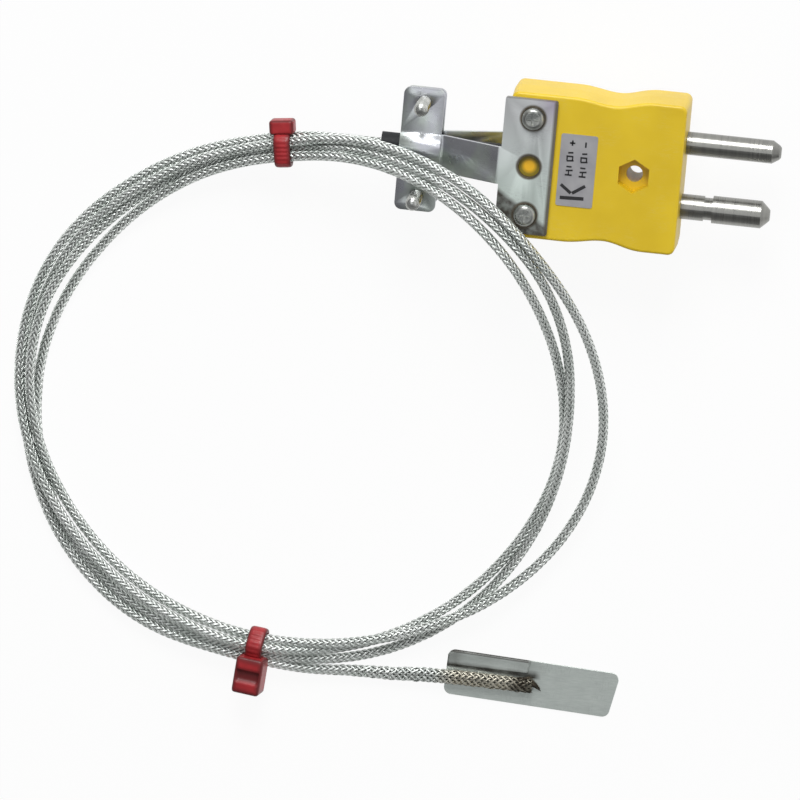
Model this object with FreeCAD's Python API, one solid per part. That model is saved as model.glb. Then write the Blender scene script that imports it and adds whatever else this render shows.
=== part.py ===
import FreeCAD, Part
import math
import os

from FreeCAD import Vector

# Surface thermocouple: a two-pin plug with a steel cable clamp, a thin braided lead wound
# into a coil that two ties hold, and a flat steel sensor patch on the lead's far end.
# Millimetres.  +X points along the pins, +Y towards the positive pin, +Z up.  The origin is
# the bottom centre of the plug and its clamp, on the surface that everything rests on.

# Heights of the plug's layers, from the resting surface up
NUT_HEIGHT = 1.6
SHEET = 0.9
HALF_BODY = 6.5
PLATE_LOW = NUT_HEIGHT
BODY_LOW = PLATE_LOW + SHEET
MID = BODY_LOW + HALF_BODY
BODY_TOP = MID + HALF_BODY
PLATE_TOP = BODY_TOP + SHEET

# Plug body
BODY_REAR = -13.8
BODY_FRONT = 16.6
HALF_REAR = 12.8
HALF_WAIST = 12.0
HALF_FRONT = 13.2
WAIST_X = 4.0
WAIST_REACH = 7.0
CORNER = 1.2
DRAFT = 0.15
EDGE = 0.5
WALL = 2.0
CAVITY_X = (-7.0, 11.0)
CAVITY_HALF = 9.6
THROAT_HALF = 2.2

# Pins: standard round-pin spacing, the negative pin the thicker one
PIN_HALF_PITCH = 5.55
POSITIVE_R = 2.0
POSITIVE_NECK_R = 1.7
NEGATIVE_R = 2.38
NEGATIVE_NECK_R = 2.18
POSITIVE_TIP = 32.85
NEGATIVE_TIP = 31.9
TIP_CONE = 1.5
TIP_FLAT = 0.9
GROOVE_X = BODY_FRONT + 3.9
GROOVE = 1.5
GROOVE_DEPTH = 0.25
COLLAR_R = 3.0
TERMINAL_X = (2.6, 10.6)
TERMINAL_HALF = 2.7
TERMINAL_THICK = 4.0
TERMINAL_TOP = MID + TERMINAL_THICK / 2
TERMINAL_SCREW_X = 6.2

# Screws
M25 = 1.25
M3 = 1.5
SCREW_HOLE = 1.4
BODY_HOLE_X = 8.3
BODY_HOLE = 1.42
BOSS_R = 2.3
PAD_R = 3.3
PAD_FLOOR = 0.8
RECESS = 2.7
NUT_FLATS = 5.0
BRACKET_SCREW_X = -9.65
BRACKET_SCREW_Y = 8.45
CLAMP_SCREW_X = -28.85
CLAMP_SCREW_Y = 8.25

# Clamp brackets
PLATE_X = (-14.65, -5.6)
LOWER_PLATE_X = (-13.9, -5.6)
PLATE_HALF = 11.8
LOWER_PLATE_HALF = 11.2
ARM_Y = (-3.55, 2.85)
TAB_X = (-32.5, -25.45)
TAB_HALF = 10.75
LOWER_TAB_HALF = 10.1
TAB_GAP = 3.2
TAB_TOP = MID + TAB_GAP / 2 + SHEET
ARCH_R = 2.9
PEEP_R = 1.85

# Lead
LEAD_R = 0.875
SLEEVE_R = 2.0
SLEEVE_X = (-35.8, -12.4)
PACKING_X = (-32.1, -26.0)
CORE_R = 0.45
WIRE_R = 0.25

# Coil: bearings in degrees about its centre, radii in millimetres
COIL_X, COIL_Y = -46.5, -47.5
COIL_THICK = 3.9
COIL_STEP = 10
COIL_LIFTS = [(47, 44, 18.8), (266, 30, 1.3)]  # bearing, spread, height of each rise
COIL_EDGES = [
    (0, 45.4, 54.2), (17, 45.1, 53.4), (32, 46.0, 52.8), (47, 47.0, 53.1),
    (65, 46.2, 51.2), (82, 44.0, 49.4), (98, 43.0, 47.6), (125, 42.7, 48.5),
    (150, 42.7, 50.0), (171, 43.7, 49.9), (186, 44.3, 48.9), (207, 43.3, 48.4),
    (227, 42.1, 48.9), (247, 41.7, 48.0), (266, 42.4, 47.6), (285, 43.1, 47.2),
    (310, 43.8, 48.3), (322, 44.2, 50.2), (334, 44.8, 52.5), (346, 45.4, 53.9),
    (360, 45.4, 54.2),
]

# The lead where it isn't coiled: clamp to coil, then coil to patch
START_ROUTE = [(-35.3, 0.0, MID), (-41.3, 0.0, MID), (-47.3, -0.3, 7.7), (-53.2, -1.4, 5.9)]
TAIL_ROUTE = [
    (-54.0, -93.6, 2.6), (-48.2, -94.3, 2.4), (-41.4, -95.1, 1.4), (-33.5, -94.6, 0.9),
    (-25.5, -94.6, 0.9),
]
RUN_SHARE = 0.45

# Ties
TIE_THICK = 0.9
TIE_GAP = 0.45
TIE_DROP = 0.3
TOP_TIE = {"bearing": 97.8, "lean": -5, "strap": 2.9, "head_r": (47.2, 49.8), "head_width": 4.3,
           "head_z": (0.3, 3.4)}
BOTTOM_TIE = {"bearing": 265.7, "lean": 9, "strap": 3.0, "head_r": (46.6, 53.1), "head_width": 4.9,
              "head_z": (0.5, 5.1)}
STRAP_CORNER = 1.5
HEAD_CORNER = 0.6

# Sensor patch, lying on the resting surface
PATCH_CENTRE = (-1.95, -94.3)
PATCH_TURN = -2.4
PATCH_LENGTH = 30.2
PATCH_WIDTH = 8.0
PATCH_SHEET = 0.3
PATCH_CORNER = 1.3
PATCH_SLANT = 1.3
FOLD_EDGE = (1.3, 1.7)  # where the fold's free edge lies, at its start and at its end
FOLD_LENGTH = 14.4
FOLD_SLANT = 0.3
BRAID_END = [  # x, y, centre height, half width, half height
    (-25.5, -94.6, 0.9, 0.875, 0.875),
    (-21.5, -94.4, 1.0, 1.15, 0.88),
    (-17.4, -94.2, 1.2, 1.35, 0.82),
    (-9.0, -94.3, 1.15, 1.35, 0.8),
    (-1.9, -94.5, 1.06, 1.15, 0.7),
]

X, Y, Z = Vector(1, 0, 0), Vector(0, 1, 0), Vector(0, 0, 1)


def box(x, y, z):
    """A box between pairs of limits."""
    return Part.makeBox(x[1] - x[0], y[1] - y[0], z[1] - z[0], Vector(x[0], y[0], z[0]))


def rod(radius, start, end):
    """A round rod from one point to another."""
    start, end = Vector(*start), Vector(*end)
    return Part.makeCylinder(radius, (end - start).Length, start, end - start)


def hexagon(flats, x, y, low, height):
    """A hexagonal prism with two of its corners along Y."""
    radius = flats / math.sqrt(3)
    corners = []
    for i in range(6):
        angle = math.radians(90 + 60 * i)
        corners.append(Vector(x + radius * math.cos(angle), y + radius * math.sin(angle), low))
    return Part.Face(Part.makePolygon(corners + corners[:1])).extrude(Z * height)


def rounded_plate(x, half, low, thick, radius):
    """A flat plate, symmetric about Y = 0, with rounded corners."""
    plate = box(x, (-half, half), (low, low + thick))
    upright = [e for e in plate.Edges if abs(e.tangentAt(e.FirstParameter).z) > 0.99]
    return plate.makeFillet(radius, upright)


def mirrored(shape):
    """The shape turned over about the plug's middle plane."""
    return shape.mirror(Vector(0, 0, MID), Z)


def revolved(profile, y, z):
    """A solid turned about an axis along X, from (x, radius) corners."""
    points = [Vector(px, y, z + r) for px, r in profile]
    first, last = points[0], points[-1]
    closing = [Vector(last.x, y, z), Vector(first.x, y, z), first]
    face = Part.Face(Part.makePolygon(points + closing))
    return face.revolve(Vector(0, y, z), X, 360)


# ---------------------------------------------------------------- plug body

def body_outline(inset):
    """The plug seen from above: square rear, shallow waist, slightly flared front."""
    rear, front = BODY_REAR + inset, BODY_FRONT - inset
    waist_rear, waist_front = WAIST_X - WAIST_REACH, WAIST_X + WAIST_REACH
    upper = [
        Vector(rear, HALF_REAR - inset, 0), Vector(waist_rear, HALF_REAR - inset, 0),
        Vector(WAIST_X, HALF_WAIST - inset, 0), Vector(waist_front, HALF_FRONT - inset, 0),
        Vector(front, HALF_FRONT - inset, 0),
    ]
    lower = [Vector(p.x, -p.y, 0) for p in reversed(upper)]
    sides = []
    for rise in (upper, lower):
        curve = Part.BSplineCurve()
        curve.interpolate(rise[1:4], Tangents=[rise[1] - rise[0], X * (rise[-1].x - rise[0].x),
                                               rise[4] - rise[3]], TangentFlags=[True] * 3)
        sides.append([Part.makeLine(rise[0], rise[1]), curve.toShape(),
                      Part.makeLine(rise[3], rise[4])])
    front_edge = Part.makeLine(upper[-1], lower[0])
    rear_edge = Part.makeLine(lower[-1], upper[0])
    return Part.Wire(sides[0] + [front_edge] + sides[1] + [rear_edge])


def body_half():
    """The lower half of the plug's outside: widest at the joint, drawn in towards its face."""
    wide, narrow = body_outline(0), body_outline(DRAFT)
    wide.translate(Z * MID)
    narrow.translate(Z * BODY_LOW)
    half = Part.makeLoft([narrow, wide], True, True)
    corners = [e for e in half.Edges
               if len(e.Vertexes) == 2 and abs(e.Vertexes[0].Z - e.Vertexes[1].Z) > HALF_BODY / 2
               and min(abs(e.CenterOfMass.x - BODY_REAR), abs(e.CenterOfMass.x - BODY_FRONT)) < 1]
    half = half.makeFillet(CORNER, corners)
    rim = [e for e in half.Edges if abs(e.BoundBox.ZMax - BODY_LOW) < 0.01]
    return half.makeFillet(EDGE, rim)


def body_spaces():
    """What both halves leave open inside: cavity, cable throat, pin seats, screw holes."""
    depth = (BODY_LOW + WALL, MID + 1)
    boss = rod(BOSS_R, (BODY_HOLE_X, 0, 0), (BODY_HOLE_X, 0, MID + 2))
    pad = rod(PAD_R, (BODY_HOLE_X, 0, 0), (BODY_HOLE_X, 0, BODY_LOW + RECESS + PAD_FLOOR))
    cavity = box(CAVITY_X, (-CAVITY_HALF, CAVITY_HALF), depth).cut([boss, pad])
    spaces = [cavity, box((BODY_REAR - 1, CAVITY_X[0] + 1), (-THROAT_HALF, THROAT_HALF),
                          (MID - THROAT_HALF, MID + 1))]
    for y, radius in ((PIN_HALF_PITCH, POSITIVE_NECK_R), (-PIN_HALF_PITCH, NEGATIVE_NECK_R)):
        spaces.append(rod(radius + 0.05, (CAVITY_X[1] - 1, y, MID), (BODY_FRONT + 1, y, MID)))
        collar = (CAVITY_X[1] + 1.4, CAVITY_X[1] + 2.7)
        spaces.append(rod(COLLAR_R + 0.1, (collar[0], y, MID), (collar[1], y, MID)))
    for y in (-BRACKET_SCREW_Y, BRACKET_SCREW_Y):
        spaces.append(rod(SCREW_HOLE, (BRACKET_SCREW_X, y, 0), (BRACKET_SCREW_X, y, MID + 1)))
    spaces.append(rod(BODY_HOLE, (BODY_HOLE_X, 0, 0), (BODY_HOLE_X, 0, MID + 2)))
    return spaces


def lower_shell():
    head_seat = rod(2.6, (BODY_HOLE_X, 0, BODY_LOW - 1), (BODY_HOLE_X, 0, BODY_LOW + 1.9))
    return body_half().cut(body_spaces() + [head_seat])


def upper_shell():
    recess = hexagon(NUT_FLATS + 0.2, BODY_HOLE_X, 0, BODY_TOP - RECESS, RECESS + 1)
    return mirrored(body_half().cut(body_spaces())).cut(recess)


def label_plate():
    return rounded_plate((-4.6, 1.7), 6.3, BODY_TOP, 0.12, 0.4)


# ---------------------------------------------------------------- pins and terminals

def pin(y, radius, neck, tip, groove=None):
    """A round contact pin with a retaining collar and a flat screw terminal behind."""
    collar_x = CAVITY_X[1] + 1.5
    root = neck * 0.8
    profile = [
        (TERMINAL_X[1] - 0.5, root), (collar_x, root), (collar_x, COLLAR_R),
        (collar_x + 1.1, COLLAR_R), (collar_x + 1.1, neck),
    ]
    if groove:
        profile += [(groove, neck), (groove, neck - GROOVE_DEPTH),
                    (groove + GROOVE, neck - GROOVE_DEPTH), (groove + GROOVE, radius)]
    else:
        profile += [(BODY_FRONT, neck), (BODY_FRONT, radius)]
    profile += [(tip - TIP_CONE, radius), (tip - 0.3, TIP_FLAT + 0.35), (tip, TIP_FLAT)]
    blank = revolved(profile, y, MID)
    terminal = box(TERMINAL_X, (y - TERMINAL_HALF, y + TERMINAL_HALF),
                   (MID - TERMINAL_THICK / 2, TERMINAL_TOP))
    hole = rod(M3, (TERMINAL_SCREW_X, y, MID - 3), (TERMINAL_SCREW_X, y, MID + 3))
    return blank.fuse(terminal).cut(hole)


def pan_screw(x, y, seat, length, radius, head_r, head, up=True):
    """A pan-head screw with a cross recess: head above its seat, or below if not up."""
    shank = rod(radius, (x, y, seat - length), (x, y, seat))
    cap = rod(head_r, (x, y, seat), (x, y, seat + head))
    cap = cap.makeFillet(head * 0.55, [e for e in cap.Edges if e.BoundBox.ZMin > seat + head / 2])
    slot = head_r * 0.55
    cross = [box((x - slot, x + slot), (y - 0.22, y + 0.22), (seat + head - 0.6, seat + head + 1)),
             box((x - 0.22, x + 0.22), (y - slot, y + slot), (seat + head - 0.6, seat + head + 1))]
    screw = shank.fuse(cap).cut(cross)
    return screw if up else screw.mirror(Vector(0, 0, seat), Z)


def terminal_washers():
    rings = []
    for y in (PIN_HALF_PITCH, -PIN_HALF_PITCH):
        low = TERMINAL_TOP + 2 * WIRE_R + 0.05
        ring = rod(2.6, (TERMINAL_SCREW_X, y, low), (TERMINAL_SCREW_X, y, low + 0.5))
        rings.append(ring.cut(rod(M3 + 0.1, (TERMINAL_SCREW_X, y, 0), (TERMINAL_SCREW_X, y, 20))))
    return Part.makeCompound(rings)


def terminal_screws():
    seat = TERMINAL_TOP + 2 * WIRE_R + 0.55
    return Part.makeCompound([pan_screw(TERMINAL_SCREW_X, y, seat, 4.2, M3 - 0.02, 2.3, 1.3)
                              for y in (PIN_HALF_PITCH, -PIN_HALF_PITCH)])


# ---------------------------------------------------------------- fasteners

def nut(x, y, low, height):
    return hexagon(NUT_FLATS, x, y, low, height).cut(rod(M25 + 0.02, (x, y, 0), (x, y, 30)))


def bracket_screws():
    length = PLATE_TOP - 0.1
    return Part.makeCompound([pan_screw(BRACKET_SCREW_X, y, PLATE_TOP, length, M25, 1.9, 1.3)
                              for y in (BRACKET_SCREW_Y, -BRACKET_SCREW_Y)])


def bracket_nuts():
    return Part.makeCompound([nut(BRACKET_SCREW_X, y, 0, NUT_HEIGHT)
                              for y in (BRACKET_SCREW_Y, -BRACKET_SCREW_Y)])


def clamp_screws():
    """Heads under the lower tab; the threaded ends stand up through the upper tab."""
    seat = 2 * MID - TAB_TOP
    return Part.makeCompound([pan_screw(CLAMP_SCREW_X, y, seat, 12, M25, 1.65, 1.2, up=False)
                              for y in (CLAMP_SCREW_Y, -CLAMP_SCREW_Y)])


# ---------------------------------------------------------------- clamp brackets

def bracket(plate_x, plate_half, tab_half):
    """Plate on the body, arm sloping to the cable, tab arched over it."""
    plate = rounded_plate(plate_x, plate_half, BODY_TOP, SHEET, 0.4)
    tab_low = TAB_TOP - SHEET
    bend = 0.5
    side = [
        Vector(plate_x[0] + 1, 0, BODY_TOP), Vector(plate_x[0] - bend, 0, BODY_TOP),
        Vector(TAB_X[1] + bend, 0, tab_low), Vector(TAB_X[1] - 1, 0, tab_low),
        Vector(TAB_X[1] - 1, 0, TAB_TOP), Vector(TAB_X[1] + bend, 0, TAB_TOP),
        Vector(plate_x[0] - bend, 0, PLATE_TOP), Vector(plate_x[0] + 1, 0, PLATE_TOP),
    ]
    arm = Part.Face(Part.makePolygon(side + side[:1])).extrude(Y * (ARM_Y[1] - ARM_Y[0]))
    arm.translate(Y * ARM_Y[0])
    bends = [e for e in arm.Edges if abs(e.tangentAt(e.FirstParameter).y) > 0.99
             and plate_x[0] > e.CenterOfMass.x > TAB_X[1]]
    arm = arm.makeFillet(0.8, bends)
    tab = rounded_plate(TAB_X, tab_half, tab_low, SHEET, CORNER)
    span = TAB_X
    arch = rod(ARCH_R + SHEET, (span[0], 0, MID), (span[1], 0, MID))
    bore = rod(ARCH_R, (span[0] - 1, 0, MID), (span[1], 0, MID))
    sleeve_room = rod(SLEEVE_R + 0.1, (span[0], 0, MID), (span[1] + 3, 0, MID))
    tab = tab.fuse(arch.common(box((-40, 0), (-5, 5), (tab_low, 20))))
    flanks = [e for e in tab.Edges if abs(e.CenterOfMass.z - TAB_TOP) < 0.01
              and abs(abs(e.CenterOfMass.y) - math.sqrt((ARCH_R + SHEET) ** 2
                                                        - (TAB_TOP - MID) ** 2)) < 0.05]
    tab = tab.makeFillet(0.8, flanks)
    sheet = plate.fuse([arm, tab]).removeSplitter().cut([bore, sleeve_room])
    holes = [rod(PEEP_R, (BRACKET_SCREW_X, 0, 0), (BRACKET_SCREW_X, 0, 30))]
    for y in (-1, 1):
        x, reach = BRACKET_SCREW_X, y * BRACKET_SCREW_Y
        holes.append(rod(SCREW_HOLE, (x, reach, 0), (x, reach, 30)))
        x, reach = CLAMP_SCREW_X, y * CLAMP_SCREW_Y
        holes.append(rod(M25 + 0.02, (x, reach, 0), (x, reach, 30)))
    return sheet.cut(holes)


# ---------------------------------------------------------------- lead

def tube(route, radius, name):
    """A round tube along straight runs joined by the largest tangent arcs that fit."""
    points = [Vector(*p) for p in route]
    edges, start, radii = [], points[0], []
    for before, corner, after in zip(points, points[1:], points[2:]):
        back, ahead = before - corner, after - corner
        run = min(back.Length, ahead.Length)
        half_turn = (math.pi - back.getAngle(ahead)) / 2
        reach = RUN_SHARE * run
        arc_start = corner + back.normalize() * reach
        arc_end = corner + ahead.normalize() * reach
        centre_side = (back + ahead).normalize()
        bend = reach / math.tan(half_turn)
        middle = corner + centre_side * (bend / math.cos(half_turn) - bend)
        edges += [Part.LineSegment(start, arc_start).toShape(),
                  Part.Arc(arc_start, middle, arc_end).toShape()]
        radii.append(round(bend, 1))
        start = arc_end
    edges.append(Part.LineSegment(start, points[-1]).toShape())
    path = Part.Wire(edges)
    section = Part.Wire(Part.makeCircle(radius, points[0], points[1] - points[0]))
    solid = path.makePipeShell([section], True, False)
    share = solid.Volume / (math.pi * radius ** 2 * path.Length)
    print(name, "radii", radii, "length", round(path.Length, 1), "volume share", round(share, 4))
    return solid


def lift(bearing):
    """How high the coil's underside stands: over the plug's corner, and over the tie's strap."""
    height = 0
    for peak, spread, rise in COIL_LIFTS:
        away = (bearing - peak + 180) % 360 - 180
        height += rise * math.exp(-(away / spread) ** 2)
    return height


def coil_edges(bearing):
    """Inner and outer radius of the coil at a bearing."""
    bearing %= 360
    for (a, in_a, out_a), (b, in_b, out_b) in zip(COIL_EDGES, COIL_EDGES[1:]):
        if a <= bearing <= b:
            share = (bearing - a) / (b - a)
            return in_a + share * (in_b - in_a), out_a + share * (out_b - out_a)


def around(bearing, radius, height):
    """A point at a bearing and a radius about the coil's centre."""
    angle = math.radians(bearing)
    return Vector(COIL_X + radius * math.cos(angle), COIL_Y + radius * math.sin(angle), height)


def lead_coil():
    """The outer shape of the wound lead: a closed ring of flat facets."""
    rings = []
    for bearing in range(0, 360, COIL_STEP):
        inner, outer = coil_edges(bearing)
        low = lift(bearing)
        high = low + COIL_THICK
        rings.append([around(bearing, inner, low), around(bearing, outer, low),
                      around(bearing, outer, high), around(bearing, inner, high)])
    faces = []
    for ring, following in zip(rings, rings[1:] + rings[:1]):
        for i in range(4):
            a, b = ring[i], ring[(i + 1) % 4]
            c, d = following[(i + 1) % 4], following[i]
            faces.append(Part.Face(Part.makePolygon([a, b, c, a])))
            faces.append(Part.Face(Part.makePolygon([a, c, d, a])))
    solid = Part.makeSolid(Part.makeShell(faces))
    if solid.Volume < 0:
        solid.reverse()
    return solid


def lead_in_clamp():
    return rod(LEAD_R, START_ROUTE[0], (SLEEVE_X[1], 0, MID))


def heat_shrink_sleeve():
    sleeve = rod(SLEEVE_R, (SLEEVE_X[0], 0, MID), (SLEEVE_X[1], 0, MID))
    return sleeve.cut(rod(LEAD_R + 0.05, (-40, 0, MID), (0, 0, MID)))


def clamp_packing():
    """Tube of sleeving that fills the clamp's arches around the thin lead."""
    packing = rod(ARCH_R - 0.05, (PACKING_X[0], 0, MID), (PACKING_X[1], 0, MID))
    packing = packing.makeFillet(0.5, [e for e in packing.Edges if e.Curve.TypeId == "Part::GeomCircle"])
    return packing.cut(rod(SLEEVE_R + 0.05, (-40, 0, MID), (0, 0, MID)))


def core_route(side):
    """An insulated conductor, from the lead's end to beside its terminal screw."""
    end_y = side * (PIN_HALF_PITCH + 1.95)
    high = TERMINAL_TOP + CORE_R + 0.1
    return [(SLEEVE_X[1], side * 0.42, MID), (-8.6, side * 0.55, MID), (-4.9, side * 2.1, MID + 0.5),
            (-1.8, side * 5.2, MID + 1.9), (1.2, end_y, high)]


def core(side, name):
    return tube(core_route(side), CORE_R, name)


def conductor(side):
    """The bare end of a conductor, under the terminal's washer."""
    end_y = side * (PIN_HALF_PITCH + 1.95)
    high = TERMINAL_TOP + CORE_R + 0.1
    flat = TERMINAL_TOP + WIRE_R + 0.01
    return tube([(1.2, end_y, high), (2.6, end_y, high - 0.05), (3.9, end_y, flat + 0.02),
                 (5.4, end_y - side * 0.03, flat), (7.6, end_y, flat)], WIRE_R, "conductor")


# ---------------------------------------------------------------- ties

def tie(bearing, lean, strap, head_r, head_width, head_z):
    """A cable tie: a strap right round the turns and a ratchet head on the outer side."""
    inner, outer = coil_edges(bearing)
    inner, outer = inner - TIE_GAP, outer + TIE_GAP
    low, high = -TIE_DROP, COIL_THICK + TIE_GAP
    loop = box((inner - TIE_THICK, outer + TIE_THICK), (-strap / 2, strap / 2),
               (low - TIE_THICK, high + TIE_THICK))
    loop = loop.makeFillet(STRAP_CORNER, [e for e in loop.Edges if abs(e.tangentAt(0).y) > 0.99])
    hole = box((inner, outer), (-strap, strap), (low, high))
    hole = hole.makeFillet(HEAD_CORNER, [e for e in hole.Edges if abs(e.tangentAt(0).y) > 0.99])
    head = box(head_r, (-head_width / 2, head_width / 2), head_z)
    head = head.makeFillet(HEAD_CORNER, head.Edges)
    solid = loop.fuse(head).cut(hole)
    solid.rotate(Vector(0, 0, 0), X, lean)
    solid.rotate(Vector(0, 0, 0), Z, bearing)
    solid.translate(Vector(COIL_X, COIL_Y, lift(bearing)))
    return solid.common(box((-120, 60), (-120, 60), (0, 40)))


# ---------------------------------------------------------------- sensor patch

def placed_on_patch(shape):
    """Moves a shape from the patch's own frame to where the patch lies."""
    shape.rotate(Vector(0, 0, 0), Z, PATCH_TURN)
    shape.translate(Vector(PATCH_CENTRE[0], PATCH_CENTRE[1], 0))
    return shape


def sensor_patch():
    """A thin sheet with rounded corners; its edge is folded over beside the braid."""
    half, top = PATCH_LENGTH / 2, PATCH_WIDTH / 2
    corners = [Vector(-half, -top, 0), Vector(half - PATCH_SLANT, -top, 0), Vector(half, top, 0),
               Vector(-half, top, 0)]
    outline = Part.Face(Part.makePolygon(corners + corners[:1])).extrude(Z * 5)
    outline = outline.makeFillet(PATCH_CORNER, [e for e in outline.Edges if e.BoundBox.ZLength > 4])
    sheet = outline.common(box((-half, half), (-top, top), (0, PATCH_SHEET)))
    fold = [Vector(-half, FOLD_EDGE[0], 0), Vector(-half + FOLD_LENGTH - FOLD_SLANT, FOLD_EDGE[1], 0),
            Vector(-half + FOLD_LENGTH, top, 0), Vector(-half, top, 0)]
    leaf = Part.Face(Part.makePolygon(fold + fold[:1])).extrude(Z * PATCH_SHEET * 2)
    return placed_on_patch(sheet.fuse(leaf.common(outline)))


def braid_end():
    """The flattened, flared end of the braid, lying on the patch."""
    sections = []
    for x, y, z, half_width, half_height in BRAID_END:
        ellipse = Part.Ellipse(Vector(0, 0, 0), half_width + 1e-4, half_height)
        wire = Part.Wire(ellipse.toShape())
        wire.rotate(Vector(0, 0, 0), X, 90)
        wire.rotate(Vector(0, 0, 0), Z, 90)
        wire.translate(Vector(x, y, z))
        sections.append(wire)
    return Part.makeLoft(sections, True, True)


def junction_bead():
    """The welded measuring junction at the braid's end."""
    x, y = BRAID_END[-1][:2]
    ball = Part.makeSphere(0.62, Vector(x + 0.45, y, PATCH_SHEET + 0.15))
    return ball.cut(box((x - 5, x + 5), (y - 5, y + 5), (-1, PATCH_SHEET))).cut(braid_end())


NODES = {
    "lower_shell": lower_shell,
    "upper_shell": upper_shell,
    "label_plate": label_plate,
    "positive_pin": lambda: pin(PIN_HALF_PITCH, POSITIVE_R, POSITIVE_NECK_R, POSITIVE_TIP),
    "negative_pin": lambda: pin(-PIN_HALF_PITCH, NEGATIVE_R, NEGATIVE_NECK_R, NEGATIVE_TIP, GROOVE_X),
    "terminal_washers": terminal_washers,
    "terminal_screws": terminal_screws,
    "upper_bracket": lambda: bracket(PLATE_X, PLATE_HALF, TAB_HALF),
    "lower_bracket": lambda: mirrored(bracket(LOWER_PLATE_X, LOWER_PLATE_HALF,
                                              LOWER_TAB_HALF)),
    "bracket_screws": bracket_screws,
    "bracket_nuts": bracket_nuts,
    "clamp_screws": clamp_screws,
    "clamp_packing": clamp_packing,
    "heat_shrink_sleeve": heat_shrink_sleeve,
    "lead_in_clamp": lead_in_clamp,
    "positive_core": lambda: core(1, "positive_core"),
    "negative_core": lambda: core(-1, "negative_core"),
    "positive_conductor": lambda: conductor(1),
    "negative_conductor": lambda: conductor(-1),
    "lead_start": lambda: tube(START_ROUTE, LEAD_R, "lead_start"),
    "lead_coil": lead_coil,
    "lead_tail": lambda: tube(TAIL_ROUTE, LEAD_R, "lead_tail"),
    "top_tie": lambda: tie(**TOP_TIE),
    "bottom_tie": lambda: tie(**BOTTOM_TIE),
    "braid_end": braid_end,
    "junction_bead": junction_bead,
    "sensor_patch": sensor_patch,
}


def main():
    os.makedirs("parts", exist_ok=True)
    for name, make in NODES.items():
        shape = make()
        state = "" if shape.isValid() else "INVALID"
        heights = [p.z for p in shape.tessellate(0.05)[0]]
        print(f"{name:20s} {len(shape.Solids)} solids {shape.Volume:9.2f} mm3 "
              f"z {min(heights):6.2f} to {max(heights):6.2f} {state}")
        shape.exportStep(f"parts/{name}.step")


main()
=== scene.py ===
import math

import bmesh
import bpy
import numpy as np
from mathutils import Euler, Matrix, Vector


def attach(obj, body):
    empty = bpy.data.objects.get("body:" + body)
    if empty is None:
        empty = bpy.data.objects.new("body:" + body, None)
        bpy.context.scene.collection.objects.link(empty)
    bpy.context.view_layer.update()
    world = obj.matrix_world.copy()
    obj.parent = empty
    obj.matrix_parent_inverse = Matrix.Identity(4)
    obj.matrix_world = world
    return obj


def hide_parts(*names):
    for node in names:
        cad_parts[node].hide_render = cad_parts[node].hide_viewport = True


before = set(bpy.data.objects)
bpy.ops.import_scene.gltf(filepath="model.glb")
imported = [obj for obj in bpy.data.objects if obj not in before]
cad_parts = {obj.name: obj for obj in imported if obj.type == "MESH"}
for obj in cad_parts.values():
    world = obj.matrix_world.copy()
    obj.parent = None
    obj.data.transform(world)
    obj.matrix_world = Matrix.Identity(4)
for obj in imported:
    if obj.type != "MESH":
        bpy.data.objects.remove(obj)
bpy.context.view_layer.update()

# Surface thermocouple: the looks of its plug, clamp, braided lead, ties and sensor patch.
# The frame is in metres; lengths below are written in millimetres and scaled where used.
MM = 0.001
BODY = "root"
LEAD = 1.75  # the lead's diameter over its braid

# Coil: its centre, its rises as (bearing, spread, height), and how its control points are spaced
COIL_CENTRE = (-46.5, -47.5)
COIL_LIFTS = [(47, 44, 18.8), (266, 30, 1.3)]
COIL_STEP = 10
COIL_START, COIL_END = 106, 1326

# The lead where it isn't coiled
START_ROUTE = [(-35.3, 0.0, 9.0), (-41.3, 0.0, 9.0), (-47.3, -0.3, 7.7), (-53.2, -1.4, 5.9)]
TAIL_ROUTE = [
    (-53.9, -94.3, 2.4), (-48.2, -95.0, 2.3), (-41.4, -95.8, 1.4), (-33.5, -95.2, 0.95),
    (-25.5, -95.0, 1.0), (-21.5, -94.6, 1.1), (-17.4, -94.4, 1.25), (-9.0, -94.4, 1.2),
    (-1.9, -94.5, 1.1),
]

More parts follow.
